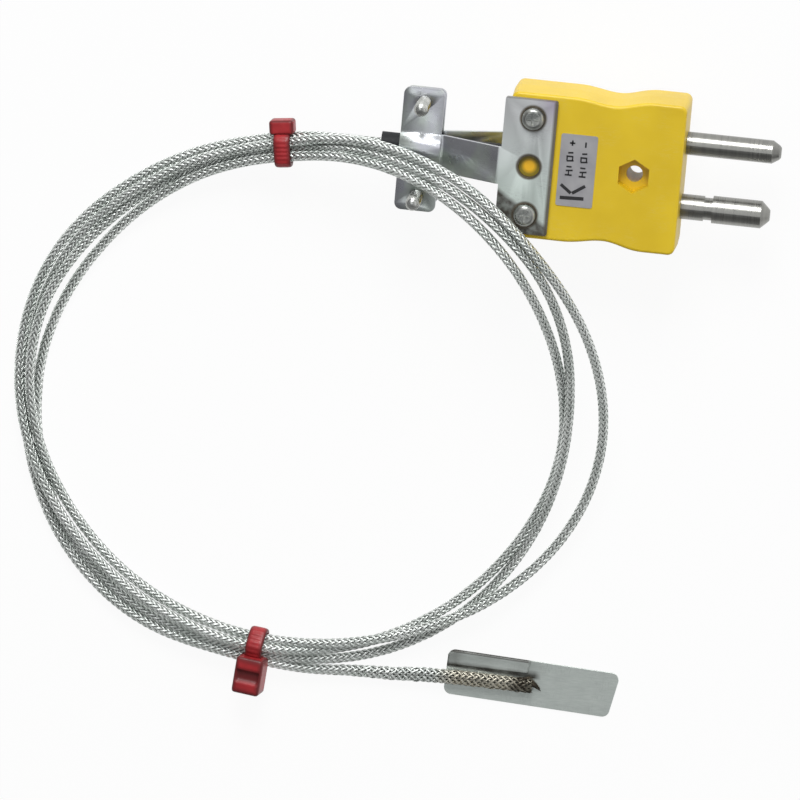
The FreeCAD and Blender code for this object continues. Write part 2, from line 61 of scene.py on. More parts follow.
# The turns along the lead: bearing (counted on past 360), radius, height above the lowest layer
TURNS = [
    (98, 46.1, 0), (105, 46.0, 0), (120, 46.5, 0), (130, 47.0, 0), (140, 47.9, 0), (150, 49.0, 0),
    (160, 49.4, 0), (170, 49.5, 0), (180, 49.2, 0.4), (190, 48.7, 1.2), (200, 47.8, 1.6),
    (210, 47.1, 1.6), (220, 46.4, 1.6), (230, 45.8, 1.5), (240, 45.3, 1.4), (250, 45.0, 1.4),
    (260, 44.9, 1.4), (270, 44.9, 1.2), (280, 44.9, 0.6), (290, 44.9, 0.1), (300, 44.9, 0),
    (310, 44.9, 0), (320, 45.1, 0), (330, 45.3, 0), (340, 45.8, 0), (350, 46.3, 0), (360, 46.5, 0),
    (370, 46.3, 0), (380, 46.5, 0), (390, 46.6, 0), (400, 47.0, 0), (410, 47.0, 0), (420, 46.9, 0),
    (430, 46.3, 0), (440, 45.3, 0.3), (450, 44.1, 1), (458, 43.0, 1.3), (465, 42.8, 1.3),
    (480, 42.6, 1.2), (490, 42.6, 0.9), (500, 42.7, 0.2), (510, 43.1, 0), (520, 43.9, 0),
    (530, 44.8, 0), (540, 45.7, 0), (550, 46.1, 0), (560, 46.9, 0), (570, 47.5, 0), (580, 47.8, 0),
    (590, 47.8, 0), (600, 47.4, 0), (610, 46.8, 0), (620, 46.3, 0), (630, 46.4, 0), (640, 46.7, 0),
    (650, 47.1, 0), (660, 47.3, 0), (670, 47.3, 0), (680, 47.2, 0), (690, 46.9, 0.1),
    (700, 46.8, 0.9), (710, 46.7, 1.6), (720, 47.1, 1.5), (728, 47.5, 1), (740, 48.9, 0.1),
    (750, 49.6, 0), (760, 49.9, 0), (770, 49.1, 0), (780, 48.8, 0), (790, 48.0, 0), (800, 46.9, 0),
    (810, 45.5, 0), (818, 44.0, 0), (825, 43.7, 0), (840, 43.9, 0), (850, 44.1, 0),
    (860, 44.7, 0.2), (870, 45.7, 0.7), (878, 46.5, 1.3), (885, 47.1, 1.6), (890, 47.3, 1.7),
    (900, 47.2, 1.7), (910, 46.8, 1.6), (920, 46.0, 1.2), (930, 45.3, 0.3), (940, 44.7, 0),
    (950, 44.3, 0), (960, 43.8, 0), (970, 43.5, 0), (980, 43.3, 0.1), (990, 43.5, 0.4),
    (1000, 43.6, 1.2), (1010, 44.3, 1.8), (1020, 45.3, 2), (1030, 46.8, 2), (1035, 47.8, 1.9),
    (1040, 48.9, 1.4), (1050, 50.5, 0.2), (1060, 52.1, 0), (1070, 53.0, 0), (1080, 53.4, 0),
    (1090, 53.1, 0), (1100, 52.6, 0), (1110, 51.9, 0), (1120, 51.2, 0.9), (1130, 51.1, 0.6),
    (1140, 50.8, 0.2), (1150, 49.8, 0), (1160, 48.7, 0.4), (1170, 47.1, 1), (1178, 45.5, 1.5),
    (1185, 45.1, 1.5), (1200, 45.2, 1.5), (1210, 45.6, 1.4), (1220, 46.4, 0.7), (1230, 47.2, 0.2),
    (1240, 47.6, 0), (1250, 47.7, 0), (1260, 47.8, 0), (1270, 48.1, 0), (1280, 48.6, 0),
    (1290, 49.1, 0), (1300, 49.4, 0), (1310, 49.4, 0), (1320, 49.1, 0), (1330, 48.2, 0.1),
    (1347, 47.5, 0.2),
]


# ---------------------------------------------------------------- small helpers

def lift(bearing):
    """How high the coil's underside stands: over the plug's corner, and over a tie's strap."""
    height = 0
    for peak, spread, rise in COIL_LIFTS:
        away = (bearing - peak + 180) % 360 - 180
        height += rise * math.exp(-(away / spread) ** 2)
    return height


def around(bearing, radius, height):
    """A point at a bearing and a radius about the coil's centre, in metres."""
    angle = math.radians(bearing)
    x = COIL_CENTRE[0] + radius * math.cos(angle)
    y = COIL_CENTRE[1] + radius * math.sin(angle)
    return Vector((x, y, height)) * MM


def placed(name, data):
    """A new object in the scene that holds the data."""
    obj = bpy.data.objects.new(name, data)
    bpy.context.scene.collection.objects.link(obj)
    return obj


def piece(name, mesh, material, smooth=True):
    """A finished piece of the object that rides on the one body."""
    obj = placed(name, mesh)
    if material:
        mesh.materials.clear()
        mesh.materials.append(material)
    for face in mesh.polygons:
        face.use_smooth = smooth
    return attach(obj, BODY)


def mesh_from(name, points, faces):
    """A mesh from points in millimetres."""
    mesh = bpy.data.meshes.new(name)
    mesh.from_pydata([Vector(p) * MM for p in points], [], faces)
    mesh.update()
    return mesh


def applied(obj):
    """The object's mesh with its modifiers worked in; the object itself is removed."""
    graph = bpy.context.evaluated_depsgraph_get()
    mesh = bpy.data.meshes.new_from_object(obj.evaluated_get(graph))
    bpy.data.objects.remove(obj)
    return mesh


def closed_mesh(bm, name):
    """The built-up shape as a mesh whose faces point outwards."""
    bmesh.ops.recalc_face_normals(bm, faces=bm.faces)
    mesh = bpy.data.meshes.new(name)
    bm.to_mesh(mesh)
    bm.free()
    return mesh


def skin(bm, rings, closed=False):
    """Faces from each ring of points to the next; a run that isn't closed gets its two ends."""
    for ring, following in zip(rings, rings[1:] + (rings[:1] if closed else [])):
        for i in range(len(ring)):
            j = (i + 1) % len(ring)
            bm.faces.new((ring[i], ring[j], following[j], following[i]))
    if not closed:
        bm.faces.new(rings[0][::-1])
        bm.faces.new(rings[-1])


def finished(bm, name, width, segments=2, angle=35):
    """A mesh with its edges rounded to a width in millimetres, where they turn sharply."""
    for face in bm.faces:
        face.smooth = True
    obj = placed(name + " blank", closed_mesh(bm, name))
    bevel = obj.modifiers.new("rounded edges", "BEVEL")
    bevel.width = width * MM
    bevel.segments = segments
    bevel.limit_method = "ANGLE"
    bevel.angle_limit = math.radians(angle)
    bevel.harden_normals = True
    return applied(obj)


def add(tree, kind, values=None, **settings):
    """A node with its settings, and its inputs set to values or linked to sockets."""
    made = tree.nodes.new(kind)
    for key, value in settings.items():
        setattr(made, key, value)
    for key, value in (values or {}).items():
        socket = made.inputs[key]
        if isinstance(value, bpy.types.NodeSocket):
            tree.links.new(value, socket)
        else:
            socket.default_value = value
    return made


def maths(tree, operation, a, b=0.0, c=0.0):
    return add(tree, "ShaderNodeMath", {0: a, 1: b, 2: c}, operation=operation).outputs[0]


def times(tree, a, b):
    return maths(tree, "MULTIPLY", a, b)


def minus(tree, a, b):
    return maths(tree, "SUBTRACT", a, b)


def greatest(tree, first, *others):
    for other in others:
        first = maths(tree, "MAXIMUM", first, other)
    return first


def vectors(tree, operation, a, b=(0, 0, 0), scale=None):
    values = {0: a, 1: b} if scale is None else {0: a, "Scale": scale}
    made = add(tree, "ShaderNodeVectorMath", values, operation=operation)
    return made.outputs["Value" if operation in ("DOT_PRODUCT", "LENGTH") else "Vector"]


def noise(tree, place, scale, detail, **inputs):
    return add(tree, "ShaderNodeTexNoise", {"Vector": place, "Scale": scale, "Detail": detail,
                                           **inputs}).outputs["Fac"]


def spread(tree, value, low, high, to_low=0.0, to_high=1.0):
    """A value's range stretched onto another range."""
    return add(tree, "ShaderNodeMapRange", {"Value": value, "From Min": low, "From Max": high,
                                           "To Min": to_low, "To Max": to_high}).outputs["Result"]


# ---------------------------------------------------------------- camera

def make_camera():
    """Looks down at the object from a little above its +Y side, through a very long lens."""
    target = Vector((-29.3, -46.7, 0)) * MM
    distance, view_width, sensor = 2.5, 0.1385, 36.0
    turned = Euler([math.radians(a) for a in (-12.0, 5.41, 5.09)])
    camera = bpy.data.cameras.new("camera")
    camera.sensor_width = sensor
    camera.lens = sensor * distance / view_width
    camera.clip_start, camera.clip_end = 0.1, 50
    obj = placed("camera", camera)
    obj.rotation_euler = turned
    obj.location = target + turned.to_matrix().col[2] * distance
    bpy.context.scene.camera = obj


make_camera()


# ---------------------------------------------------------------- the lead's route

def along(bearing, column):
    """The turns' radius or height at a bearing."""
    return float(np.interp(bearing, [t[0] for t in TURNS], [t[column] for t in TURNS]))


def lead_points():
    """Control points of the whole lead, clamp to junction, in metres."""
    points = [Vector(p) * MM for p in START_ROUTE]
    outward = 1 / math.cos(math.radians(COIL_STEP / 2))
    for bearing in range(COIL_START, COIL_END + 1, COIL_STEP):
        height = lift(bearing) + LEAD / 2 + along(bearing, 2)
        points.append(around(bearing, along(bearing, 1) * outward, height))
    return points + [Vector(p) * MM for p in TAIL_ROUTE]


def lead_curve(name, thickness=0.0):
    """The lead's centre line as a smooth curve, with a round section if it has a thickness."""
    data = bpy.data.curves.new(name, "CURVE")
    data.dimensions = "3D"
    data.resolution_u = 12
    data.bevel_depth = thickness / 2 * MM
    data.bevel_resolution = 3
    data.use_fill_caps = True
    spline = data.splines.new("NURBS")
    route = lead_points()
    spline.points.add(len(route) - 1)
    for point, place in zip(spline.points, route):
        point.co = (*place, 1)
    spline.order_u = 3
    spline.use_endpoint_u = True
    return placed(name, data)


centre_line = lead_curve("lead centre line")
centre_mesh = bpy.data.meshes.new_from_object(centre_line)
centre_path = [v.co.copy() for v in centre_mesh.vertices]
bpy.data.objects.remove(centre_line)
LEAD_LENGTH = sum((b - a).length for a, b in zip(centre_path, centre_path[1:]))


# ---------------------------------------------------------------- shared shader effects

def new_group(name, inputs, outputs):
    """An empty shader node group with named inputs and outputs."""
    tree = bpy.data.node_groups.new(name, "ShaderNodeTree")
    for label, kind, default in inputs:
        socket = tree.interface.new_socket(label, in_out="INPUT", socket_type="NodeSocket" + kind)
        if default is not None:
            socket.default_value = default
    for label, kind in outputs:
        tree.interface.new_socket(label, in_out="OUTPUT", socket_type="NodeSocket" + kind)
    start, end = tree.nodes.new("NodeGroupInput"), tree.nodes.new("NodeGroupOutput")
    return tree, start.outputs, end.inputs


def make_grain_group():
    """Fine even grain with a slow drift of tone over it, as on moulded or cast surfaces."""
    tree, given, out = new_group(
        "grain and drift",
        [("Vector", "Vector", None), ("Grain size", "Float", 0.4), ("Drift size", "Float", 12.0)],
        [("Tone", "Float"), ("Height", "Float")])
    for size, detail, label in (("Drift size", 2.0, "Tone"), ("Grain size", 3.0, "Height")):
        scale = maths(tree, "DIVIDE", 1 / MM, given[size])
        tree.links.new(noise(tree, given["Vector"], scale, detail), out[label])
    return tree


def make_scratch_group():
    """Thin broken handling scratches that run roughly one way, and soft smudges."""
    tree, given, out = new_group(
        "scratches and smudges",
        [("Vector", "Vector", None), ("Stretch", "Vector", (1.0, 12.0, 1.0)),
         ("Scratch size", "Float", 2.0), ("Amount", "Float", 0.5)],
        [("Scratches", "Float"), ("Smudges", "Float")])
    drawn_out = vectors(tree, "MULTIPLY", given["Vector"], given["Stretch"])
    lines = noise(tree, drawn_out, maths(tree, "DIVIDE", 1 / MM, given["Scratch size"]), 5.0,
                  Roughness=0.65)
    thin = spread(tree, maths(tree, "ABSOLUTE", minus(tree, lines, 0.5)), 0.0, 0.025, 1.0, 0.0)
    smudges = noise(tree, given["Vector"], 0.25 / MM, 3.0)
    scratches = times(tree, thin, spread(tree, smudges, 0.45, 0.65))
    tree.links.new(times(tree, scratches, given["Amount"]), out["Scratches"])
    tree.links.new(smudges, out["Smudges"])
    return tree


GRAIN, SCRATCH = make_grain_group(), make_scratch_group()


def new_material(name, **constants):
    """A material with its shader; constants go straight onto the shader's own sockets."""
    material = bpy.data.materials.new(name)
    material.use_nodes = True
    tree = material.node_tree
    shader = tree.nodes["Principled BSDF"]
    for key, value in constants.items():
        shader.inputs[key.replace("_", " ")].default_value = value
    return material, tree, shader


def object_place(tree):
    return add(tree, "ShaderNodeTexCoord").outputs["Object"]


def attribute(tree, name):
    return add(tree, "ShaderNodeAttribute", attribute_name=name).outputs["Fac"]


def use_group(tree, group, **values):
    """A shared effect placed in a material with its own values."""
    made = add(tree, "ShaderNodeGroup", {"Vector": object_place(tree)}, node_tree=group)
    for key, value in values.items():
        made.inputs[key.replace("_", " ")].default_value = value
    return made.outputs


def use_grain(tree, size, drift):
    return use_group(tree, GRAIN, Grain_size=size, Drift_size=drift)


def use_scratches(tree, stretch, size, amount):
    return use_group(tree, SCRATCH, Stretch=stretch, Scratch_size=size, Amount=amount)


def blend_colours(tree, share, a, b):
    """A colour from a to b by a share that varies over the surface."""
    made = add(tree, "ShaderNodeMix", data_type="RGBA", blend_type="MIX")
    for key, value in ((0, share), (6, a), (7, b)):
        if isinstance(value, bpy.types.NodeSocket):
            tree.links.new(value, made.inputs[key])
        else:
            made.inputs[key].default_value = (*value, 1) if isinstance(value, tuple) else value
    return made.outputs[2]


def ring_mask(tree, x, y, inner, outer):
    """1 inside a radius in millimetres about an upright axis, falling to 0 at a wider one."""
    away = vectors(tree, "SUBTRACT", object_place(tree), (x * MM, y * MM, 0))
    flat = vectors(tree, "MULTIPLY", away, (1, 1, 0))
    return spread(tree, vectors(tree, "LENGTH", flat), inner * MM, outer * MM, 1.0, 0.0)


def slope_mask(tree, direction, low, high):
    """0 to 1 between two distances in millimetres measured along a direction."""
    along_it = vectors(tree, "DOT_PRODUCT", object_place(tree), direction)
    return spread(tree, along_it, low * MM, high * MM)


def bump(tree, shader, height, depth, strength=1.0):
    """Relief of a depth in millimetres, into the shader's normal."""
    made = add(tree, "ShaderNodeBump", {"Height": height, "Distance": depth * MM,
                                       "Strength": strength})
    tree.links.new(made.outputs["Normal"], shader.inputs["Normal"])


def connect(tree, value, shader, name):
    tree.links.new(value, shader.inputs[name])


# ---------------------------------------------------------------- materials

PLATE_SCREW_X, PLATE_SCREW_Y = -9.65, 8.45
TO_PINS = (1, 0, 0)  # the way that the plug points


def yellow_moulding():
    """Satin yellow moulding: fine spark texture, slow drift of shade, faint rubbed marks."""
    material, tree, shader = new_material("yellow moulding")
    grain = use_grain(tree, 0.22, 9)
    rub = use_scratches(tree, (1.0, 6.0, 1.0), 3.0, 0.6)
    base = blend_colours(tree, spread(tree, grain["Tone"], 0.35, 0.65),
                         (0.72, 0.495, 0.010), (0.79, 0.555, 0.014))
    base = blend_colours(tree, rub["Scratches"], base, (0.75, 0.56, 0.09))
    # inside the sheet's round hole: painted shadow of the sheet's edge round the hole, and painted
    # light, a brighter yellow, in its middle
    hole = ring_mask(tree, PLATE_SCREW_X, 0, 1.9, 2.1)
    base = blend_colours(tree, hole, base, (0.25, 0.185, 0.008))
    hole_painted_light = ring_mask(tree, PLATE_SCREW_X, 0, 0.75, 1.45)
    connect(tree, blend_colours(tree, hole_painted_light, base, (0.90, 0.50, 0.014)), shader, "Base Color")
    connect(tree, spread(tree, grain["Height"], 0.3, 0.7, 0.34, 0.46), shader, "Roughness")
    bump(tree, shader, grain["Height"], 0.02, 0.5)
    return material


def plated_sheet():
    """Bright plated sheet: rolling lines, faint violet, painted shade at its sheared edges and
    round its screws and hole, the coil's painted shadow and reflection on one corner.
    """
    material, tree, shader = new_material("plated sheet")
    place = object_place(tree)
    marks = use_scratches(tree, (1.0, 9.0, 1.0), 1.6, 0.7)
    tint = noise(tree, place, 0.16 / MM, 2.0, Distortion=0.6)
    base = blend_colours(tree, spread(tree, tint, 0.42, 0.60),
                         (0.50, 0.51, 0.55), (0.56, 0.61, 0.575))
    # the plate on the plug is frosted by its plating; the arm and tabs are bare and darker
    plate = slope_mask(tree, TO_PINS, -15.3, -14.9)
    frosted = blend_colours(tree, slope_mask(tree, (0, 1, 0), -4, 9), (0.60, 0.68, 0.64),
                            (0.56, 0.57, 0.58))
    base = blend_colours(tree, times(tree, plate, 0.9), base, frosted)
    clouds = noise(tree, place, 0.9 / MM, 4.0)
    # a darker violet tint towards the sheet's front upper corner
    violet = times(tree, slope_mask(tree, (0.5, 0.87, 0), 2.5, 7.0),
                   slope_mask(tree, TO_PINS, -10.5, -6.5))
    base = blend_colours(tree, times(tree, violet, 0.8), base, (0.30, 0.24, 0.36))
    # painted shadow and reflection of the coil on the corner that it lies over
    corner = times(tree, slope_mask(tree, (-0.55, -0.83, 0), 11.3, 12.1),
                   slope_mask(tree, TO_PINS, -16.0, -15.5))
    corner = times(tree, corner, spread(tree, clouds, 0.3, 0.6, 0.7, 1))
    base = blend_colours(tree, corner, base, (0.075, 0.07, 0.06))
    # painted shade: shadow round the screws and the hole and along the sheared front and outer
    # edges, with the darker cut edge there
    sheet_edge_shade = minus(tree, ring_mask(tree, PLATE_SCREW_X, 0, 2.1, 2.4),
                 ring_mask(tree, PLATE_SCREW_X, 0, 1.0, 1.2))
    front = times(tree, slope_mask(tree, TO_PINS, -6.4, -5.95), 0.92)
    sheet_edge_shade = greatest(tree, sheet_edge_shade, front)
    for side in (1, -1):
        seat = ring_mask(tree, PLATE_SCREW_X, side * PLATE_SCREW_Y, 2.15, 2.5)
        end = times(tree, slope_mask(tree, (0, side, 0), 11.5, 11.8), 0.6)
        sheet_edge_shade = greatest(tree, sheet_edge_shade, seat, end)
    base = blend_colours(tree, sheet_edge_shade, base, (0.10, 0.085, 0.06))
    connect(tree, blend_colours(tree, marks["Scratches"], base, (0.30, 0.30, 0.31)), shader,
            "Base Color")
    rough = spread(tree, marks["Smudges"], 0.35, 0.65, 0.24, 0.38)
    connect(tree, maths(tree, "MULTIPLY_ADD", plate, 0.14, rough), shader, "Roughness")
    connect(tree, maths(tree, "MULTIPLY_ADD", plate, -0.6, 1.0), shader, "Metallic")
    rolled = noise(tree, vectors(tree, "MULTIPLY", place, (1.0, 0.04, 1.0)), 6 / MM, 2.0)
    bump(tree, shader, rolled, 0.006, 0.5)
    return material


def turned_metal():
    """Polished turned pins: fine rings round the axis and a few marks of use along it."""
    material, tree, shader = new_material("turned metal", Metallic=1.0)
    drawn_out = vectors(tree, "MULTIPLY", object_place(tree), (1.0, 0.02, 0.02))
    rings = noise(tree, drawn_out, 3 / MM, 2.0)
    wear = use_scratches(tree, (0.12, 2.0, 2.0), 0.9, 0.5)
    base = blend_colours(tree, spread(tree, rings, 0.35, 0.65),
                         (0.27, 0.27, 0.255), (0.32, 0.32, 0.30))
    connect(tree, blend_colours(tree, wear["Scratches"], base, (0.27, 0.26, 0.245)), shader,
            "Base Color")
    connect(tree, spread(tree, rings, 0.3, 0.7, 0.26, 0.33), shader, "Roughness")
    bump(tree, shader, rings, 0.004, 0.25)
    return material


def grained(name, grain, colours, share, rough=None, relief=None, **constants):
    """A finish that follows its grain; each of the last three names the mask that it reads."""
    material, tree, shader = new_material(name, **constants)
    masks = use_grain(tree, *grain)
    mask, low, high = share
    connect(tree, blend_colours(tree, spread(tree, masks[mask], low, high), *colours), shader,
            "Base Color")
    if rough:
        mask, low, high = rough
        connect(tree, spread(tree, masks[mask], 0.3, 0.7, low, high), shader, "Roughness")
    if relief:
        mask, depth, force = relief
        bump(tree, shader, masks[mask], depth, force)
    return material


def braid_wire():
    """Bright stainless ribbons, each of several fine wires lying side by side."""
    material, tree, shader = new_material("braid wire", Metallic=1.0)
    across, shade, burn = (attribute(tree, name) for name in ("across", "shade", "burn"))
    wires = maths(tree, "ABSOLUTE", maths(tree, "SINE", times(tree, across, 7.85)))
    edge = spread(tree, maths(tree, "ABSOLUTE", across), 0.45, 1.0)
    grain = use_grain(tree, 0.25, 5.0)
    body = blend_colours(tree, spread(tree, grain["Tone"], 0.35, 0.65),
                         (0.80, 0.845, 0.81), (0.93, 0.96, 0.935))
    # towards the junction the wires are straw-coloured, and browned by the weld at their ends
    straw = blend_colours(tree, times(tree, shade, 0.85), body, (0.62, 0.575, 0.46))
    # painted shade along each ribbon's edges, where it meets its neighbours
    edge_shaded = blend_colours(tree, times(tree, edge, 0.6), straw, (0.15, 0.165, 0.15))
    spots = spread(tree, grain["Tone"], 0.35, 0.6, 0.55, 1.0)
    connect(tree, blend_colours(tree, times(tree, burn, spots), edge_shaded,
                                (0.06, 0.05, 0.035)), shader, "Base Color")
    connect(tree, spread(tree, grain["Height"], 0.3, 0.7, 0.36, 0.50), shader, "Roughness")
    bump(tree, shader, wires, 0.03, 0.6)
    return material


def red_nylon():
    """Translucent-looking red nylon with soft moulding flow marks."""
    material, tree, shader = new_material("red nylon", Specular_IOR_Level=0.35)
    grain = use_grain(tree, 0.35, 2.6)
    body = blend_colours(tree, spread(tree, grain["Tone"], 0.35, 0.65),
                         (0.30, 0.018, 0.022), (0.42, 0.028, 0.034))
    # painted shade along the tie's edges and deep in its head's sunk window
    connect(tree, blend_colours(tree, attribute(tree, "rim"), body, (0.12, 0.016, 0.018)), shader,
            "Base Color")
    connect(tree, spread(tree, grain["Height"], 0.3, 0.7, 0.3, 0.42), shader, "Roughness")
    bump(tree, shader, grain["Height"], 0.03, 0.5)
    return material


def patch_sheet():
    """Satin stainless foil: cross-brushed, with brown heat tint where the braid is held, and
    painted shade beside it, on the leaf's clamp end and on its rolled edge.
    """
    material, tree, shader = new_material("patch sheet", Metallic=1.0)
    place = object_place(tree)
    brushed = noise(tree, vectors(tree, "MULTIPLY", place, (0.15, 1.0, 1.0)), 5 / MM, 3.0)
    marks = use_scratches(tree, (4.0, 1.0, 1.0), 2.4, 0.35)
    clouds = noise(tree, place, 0.35 / MM, 3.0)
    base = blend_colours(tree, spread(tree, brushed, 0.3, 0.7),
                         (0.66, 0.715, 0.68), (0.74, 0.79, 0.755))
    # painted shadow with heat tint in the gap beside the braid, painted shade on the leaf's curled
    # clamp end, and heat tint by the weld
    out_y = (0.042, 0.999, 0)
    gap_shadow = times(tree, slope_mask(tree, out_y, -93.6, -93.2),
                 slope_mask(tree, out_y, -91.7, -92.8))
    gap_shadow = times(tree, gap_shadow, slope_mask(tree, TO_PINS, -0.4, -1.6))
    start = times(tree, slope_mask(tree, TO_PINS, -11.5, -15.5),
                  slope_mask(tree, out_y, -93.4, -92.9))
    haze = times(tree, slope_mask(tree, TO_PINS, 1.0, -4.0),
                 slope_mask(tree, out_y, -93.3, -92.8))
    shade_and_heat_tint = greatest(tree, gap_shadow, times(tree, start, 0.6), times(tree, haze, 0.3))
    patchy_shade_and_tint = times(tree, shade_and_heat_tint, spread(tree, clouds, 0.3, 0.7, 0.7, 1.0))
    # painted shade on the rolled edge, which dims the highlight along it
    rolled = times(tree, slope_mask(tree, out_y, -90.78, -90.62),
                   slope_mask(tree, TO_PINS, -2.3, -2.9))
    base = blend_colours(tree, rolled, base, (0.13, 0.135, 0.13))
    shaded_and_tinted = blend_colours(tree, patchy_shade_and_tint, base, (0.055, 0.05, 0.042))
    connect(tree, blend_colours(tree, marks["Scratches"], shaded_and_tinted, (0.33, 0.34, 0.33)), shader,
            "Base Color")
    connect(tree, spread(tree, clouds, 0.3, 0.7, 0.48, 0.58), shader, "Roughness")
    bump(tree, shader, brushed, 0.01, 0.6)
    return material


def fibre(name, *colours):
    """Lacquered woven fibre over a conductor."""
    return grained(name, (0.3, 1.5), colours, ("Height", 0, 1), None, ("Height", 0.04, 0.8),
                   Roughness=0.6)


def bare_wire(name, colours, rough):
    """Bare alloy, slightly tarnished."""
    return grained(name, (0.2, 1.2), colours, ("Tone", 0.35, 0.65), ("Height", *rough),
                   ("Height", 0.02, 0.6), Metallic=1.0)


YELLOW, SHEET_STEEL, PIN_METAL = yellow_moulding(), plated_sheet(), turned_metal()
BRAID, RED, PATCH = braid_wire(), red_nylon(), patch_sheet()
# plated screws and nuts, slightly worn, with a slow drift of tone
SCREW_METAL = grained(
    "screw plating", (0.18, 2.2), ((0.24, 0.25, 0.24), (0.50, 0.51, 0.48)), ("Tone", 0.40, 0.62),
    ("Tone", 0.22, 0.36), ("Height", 0.012, 0.5), Metallic=1.0)
# what shows between the ribbons: grey lacquered fibre over the two conductors, painted near-black
# as the shade between the ribbons
SHADED_CORE = grained(
    "fibre core in painted shade", (0.15, 3.0), ((0.020, 0.024, 0.022), (0.07, 0.08, 0.075)), ("Height", 0, 1),
    None, ("Height", 0.03, 0.6), Roughness=0.8)
# heat-shrunk sleeving: dull black with faint shrink wrinkles
BLACK = grained(
    "black sleeving", (0.3, 2.5), ((0.008, 0.009, 0.010), (0.022, 0.025, 0.028)), ("Tone", 0, 1),
    ("Height", 0.5, 0.66), ("Height", 0.05, 0.6), Specular_IOR_Level=0.3)
# printed silver label foil with a faint crinkle, and its dark ink, thin in places
FOIL = grained(
    "silver foil", (0.12, 3.0), ((0.36, 0.355, 0.375), (0.43, 0.425, 0.435)),
    ("Tone", 0.35, 0.65), ("Tone", 0.38, 0.5), ("Tone", 0.05, 0.4), Metallic=0.35)
INK = grained(
    "label ink", (0.2, 1.0), ((0.006, 0.006, 0.007), (0.03, 0.03, 0.033)), ("Height", 0, 1),
    Roughness=0.5)
GREEN_FIBRE = fibre("green fibre", (0.02, 0.14, 0.04), (0.05, 0.24, 0.08))
WHITE_FIBRE = fibre("white fibre", (0.52, 0.50, 0.44), (0.72, 0.70, 0.64))
ALLOY = bare_wire("conductor alloy", ((0.30, 0.28, 0.25), (0.46, 0.43, 0.38)), (0.3, 0.5))
STUD_METAL = bare_wire("stud steel", ((0.50, 0.51, 0.49), (0.74, 0.75, 0.72)), (0.2, 0.32))
BURNT = bare_wire("burnt wire ends", ((0.045, 0.040, 0.034), (0.13, 0.11, 0.08)), (0.45, 0.7))

# the carried-over nodes that stay in view or inside the plug
NODE_FINISHES = {
    "lower_shell": YELLOW, "upper_shell": YELLOW, "label_plate": FOIL,
    "positive_pin": PIN_METAL, "negative_pin": PIN_METAL,
    "terminal_washers": SCREW_METAL, "terminal_screws": SCREW_METAL,
    "bracket_screws": SCREW_METAL, "bracket_nuts": SCREW_METAL,
    "clamp_packing": BLACK, "heat_shrink_sleeve": BLACK, "lead_in_clamp": SHADED_CORE,
    "positive_core": GREEN_FIBRE, "negative_core": WHITE_FIBRE,
    "positive_conductor": ALLOY, "negative_conductor": ALLOY,
}
for node_name, finish in NODE_FINISHES.items():
    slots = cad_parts[node_name].data.materials
    slots.clear()
    slots.append(finish)


# ---------------------------------------------------------------- geometry node trees

def new_tree(name, inputs):
    """A Geometry Nodes tree with a mesh in, a mesh out and named inputs."""
    tree = bpy.data.node_groups.new(name, "GeometryNodeTree")
    tree.interface.new_socket("Shape", in_out="INPUT", socket_type="NodeSocketGeometry")
    for label, kind in inputs:
        tree.interface.new_socket(label, in_out="INPUT", socket_type="NodeSocket" + kind)
    tree.interface.new_socket("Shape", in_out="OUTPUT", socket_type="NodeSocketGeometry")
    return tree, tree.nodes.new("NodeGroupInput").outputs, tree.nodes.new("NodeGroupOutput").inputs


def step(tree, kind, values=None, **settings):
    """What a Geometry Nodes node puts out first."""
    return add(tree, "GeometryNode" + kind, values, **settings).outputs[0]


def coordinates(tree, vector):
    return add(tree, "ShaderNodeSeparateXYZ", {"Vector": vector}).outputs


def grown(name, host, tree, slot, **values):
    """A piece that a Geometry Nodes tree makes from a host mesh."""
    obj = placed(name + " host", host)
    modifier = obj.modifiers.new("growth", "NODES")
    modifier.node_group = tree
    for item in tree.interface.items_tree:
        key = item.name.replace(" ", "_")
        if item.in_out == "INPUT" and key in values:
            modifier[item.identifier] = values[key]
    mesh = applied(obj)
    mesh.name = name
    return piece(name, mesh, None)


def stored(tree, shape, label, value, kind="FLOAT"):
    return step(tree, "StoreNamedAttribute", {"Geometry": shape, "Name": label, "Value": value},
                data_type=kind, domain="POINT")


def named(tree, label, kind="FLOAT"):
    return add(tree, "GeometryNodeInputNamedAttribute", {"Name": label},
               data_type=kind).outputs["Attribute"]


def end_tree(tree, shape, material, out):
    """Realize Instances and Set Material, which every tree ends in."""
    shape = step(tree, "RealizeInstances", {"Geometry": shape})
    shape = step(tree, "SetMaterial", {"Geometry": shape, "Material": material})
    tree.links.new(shape, out["Shape"])


# Braid: its ribbons each way, their lay, the lengths that it is made in, and its flared end
RIBBONS = 8
LAY = 8.8
BRAID_PARTS = 3
TAIL_FLARE = 40
FLARE_FLATTENS, FLARE_LOOSENS = 0.06, 5.0
UNEVEN_SCALE = 420.0
# distances from the lead's end where a tint begins and where it is full
STRAW_END = (17.5, 13.5)
BURNT_END = (4.5, 2.5)


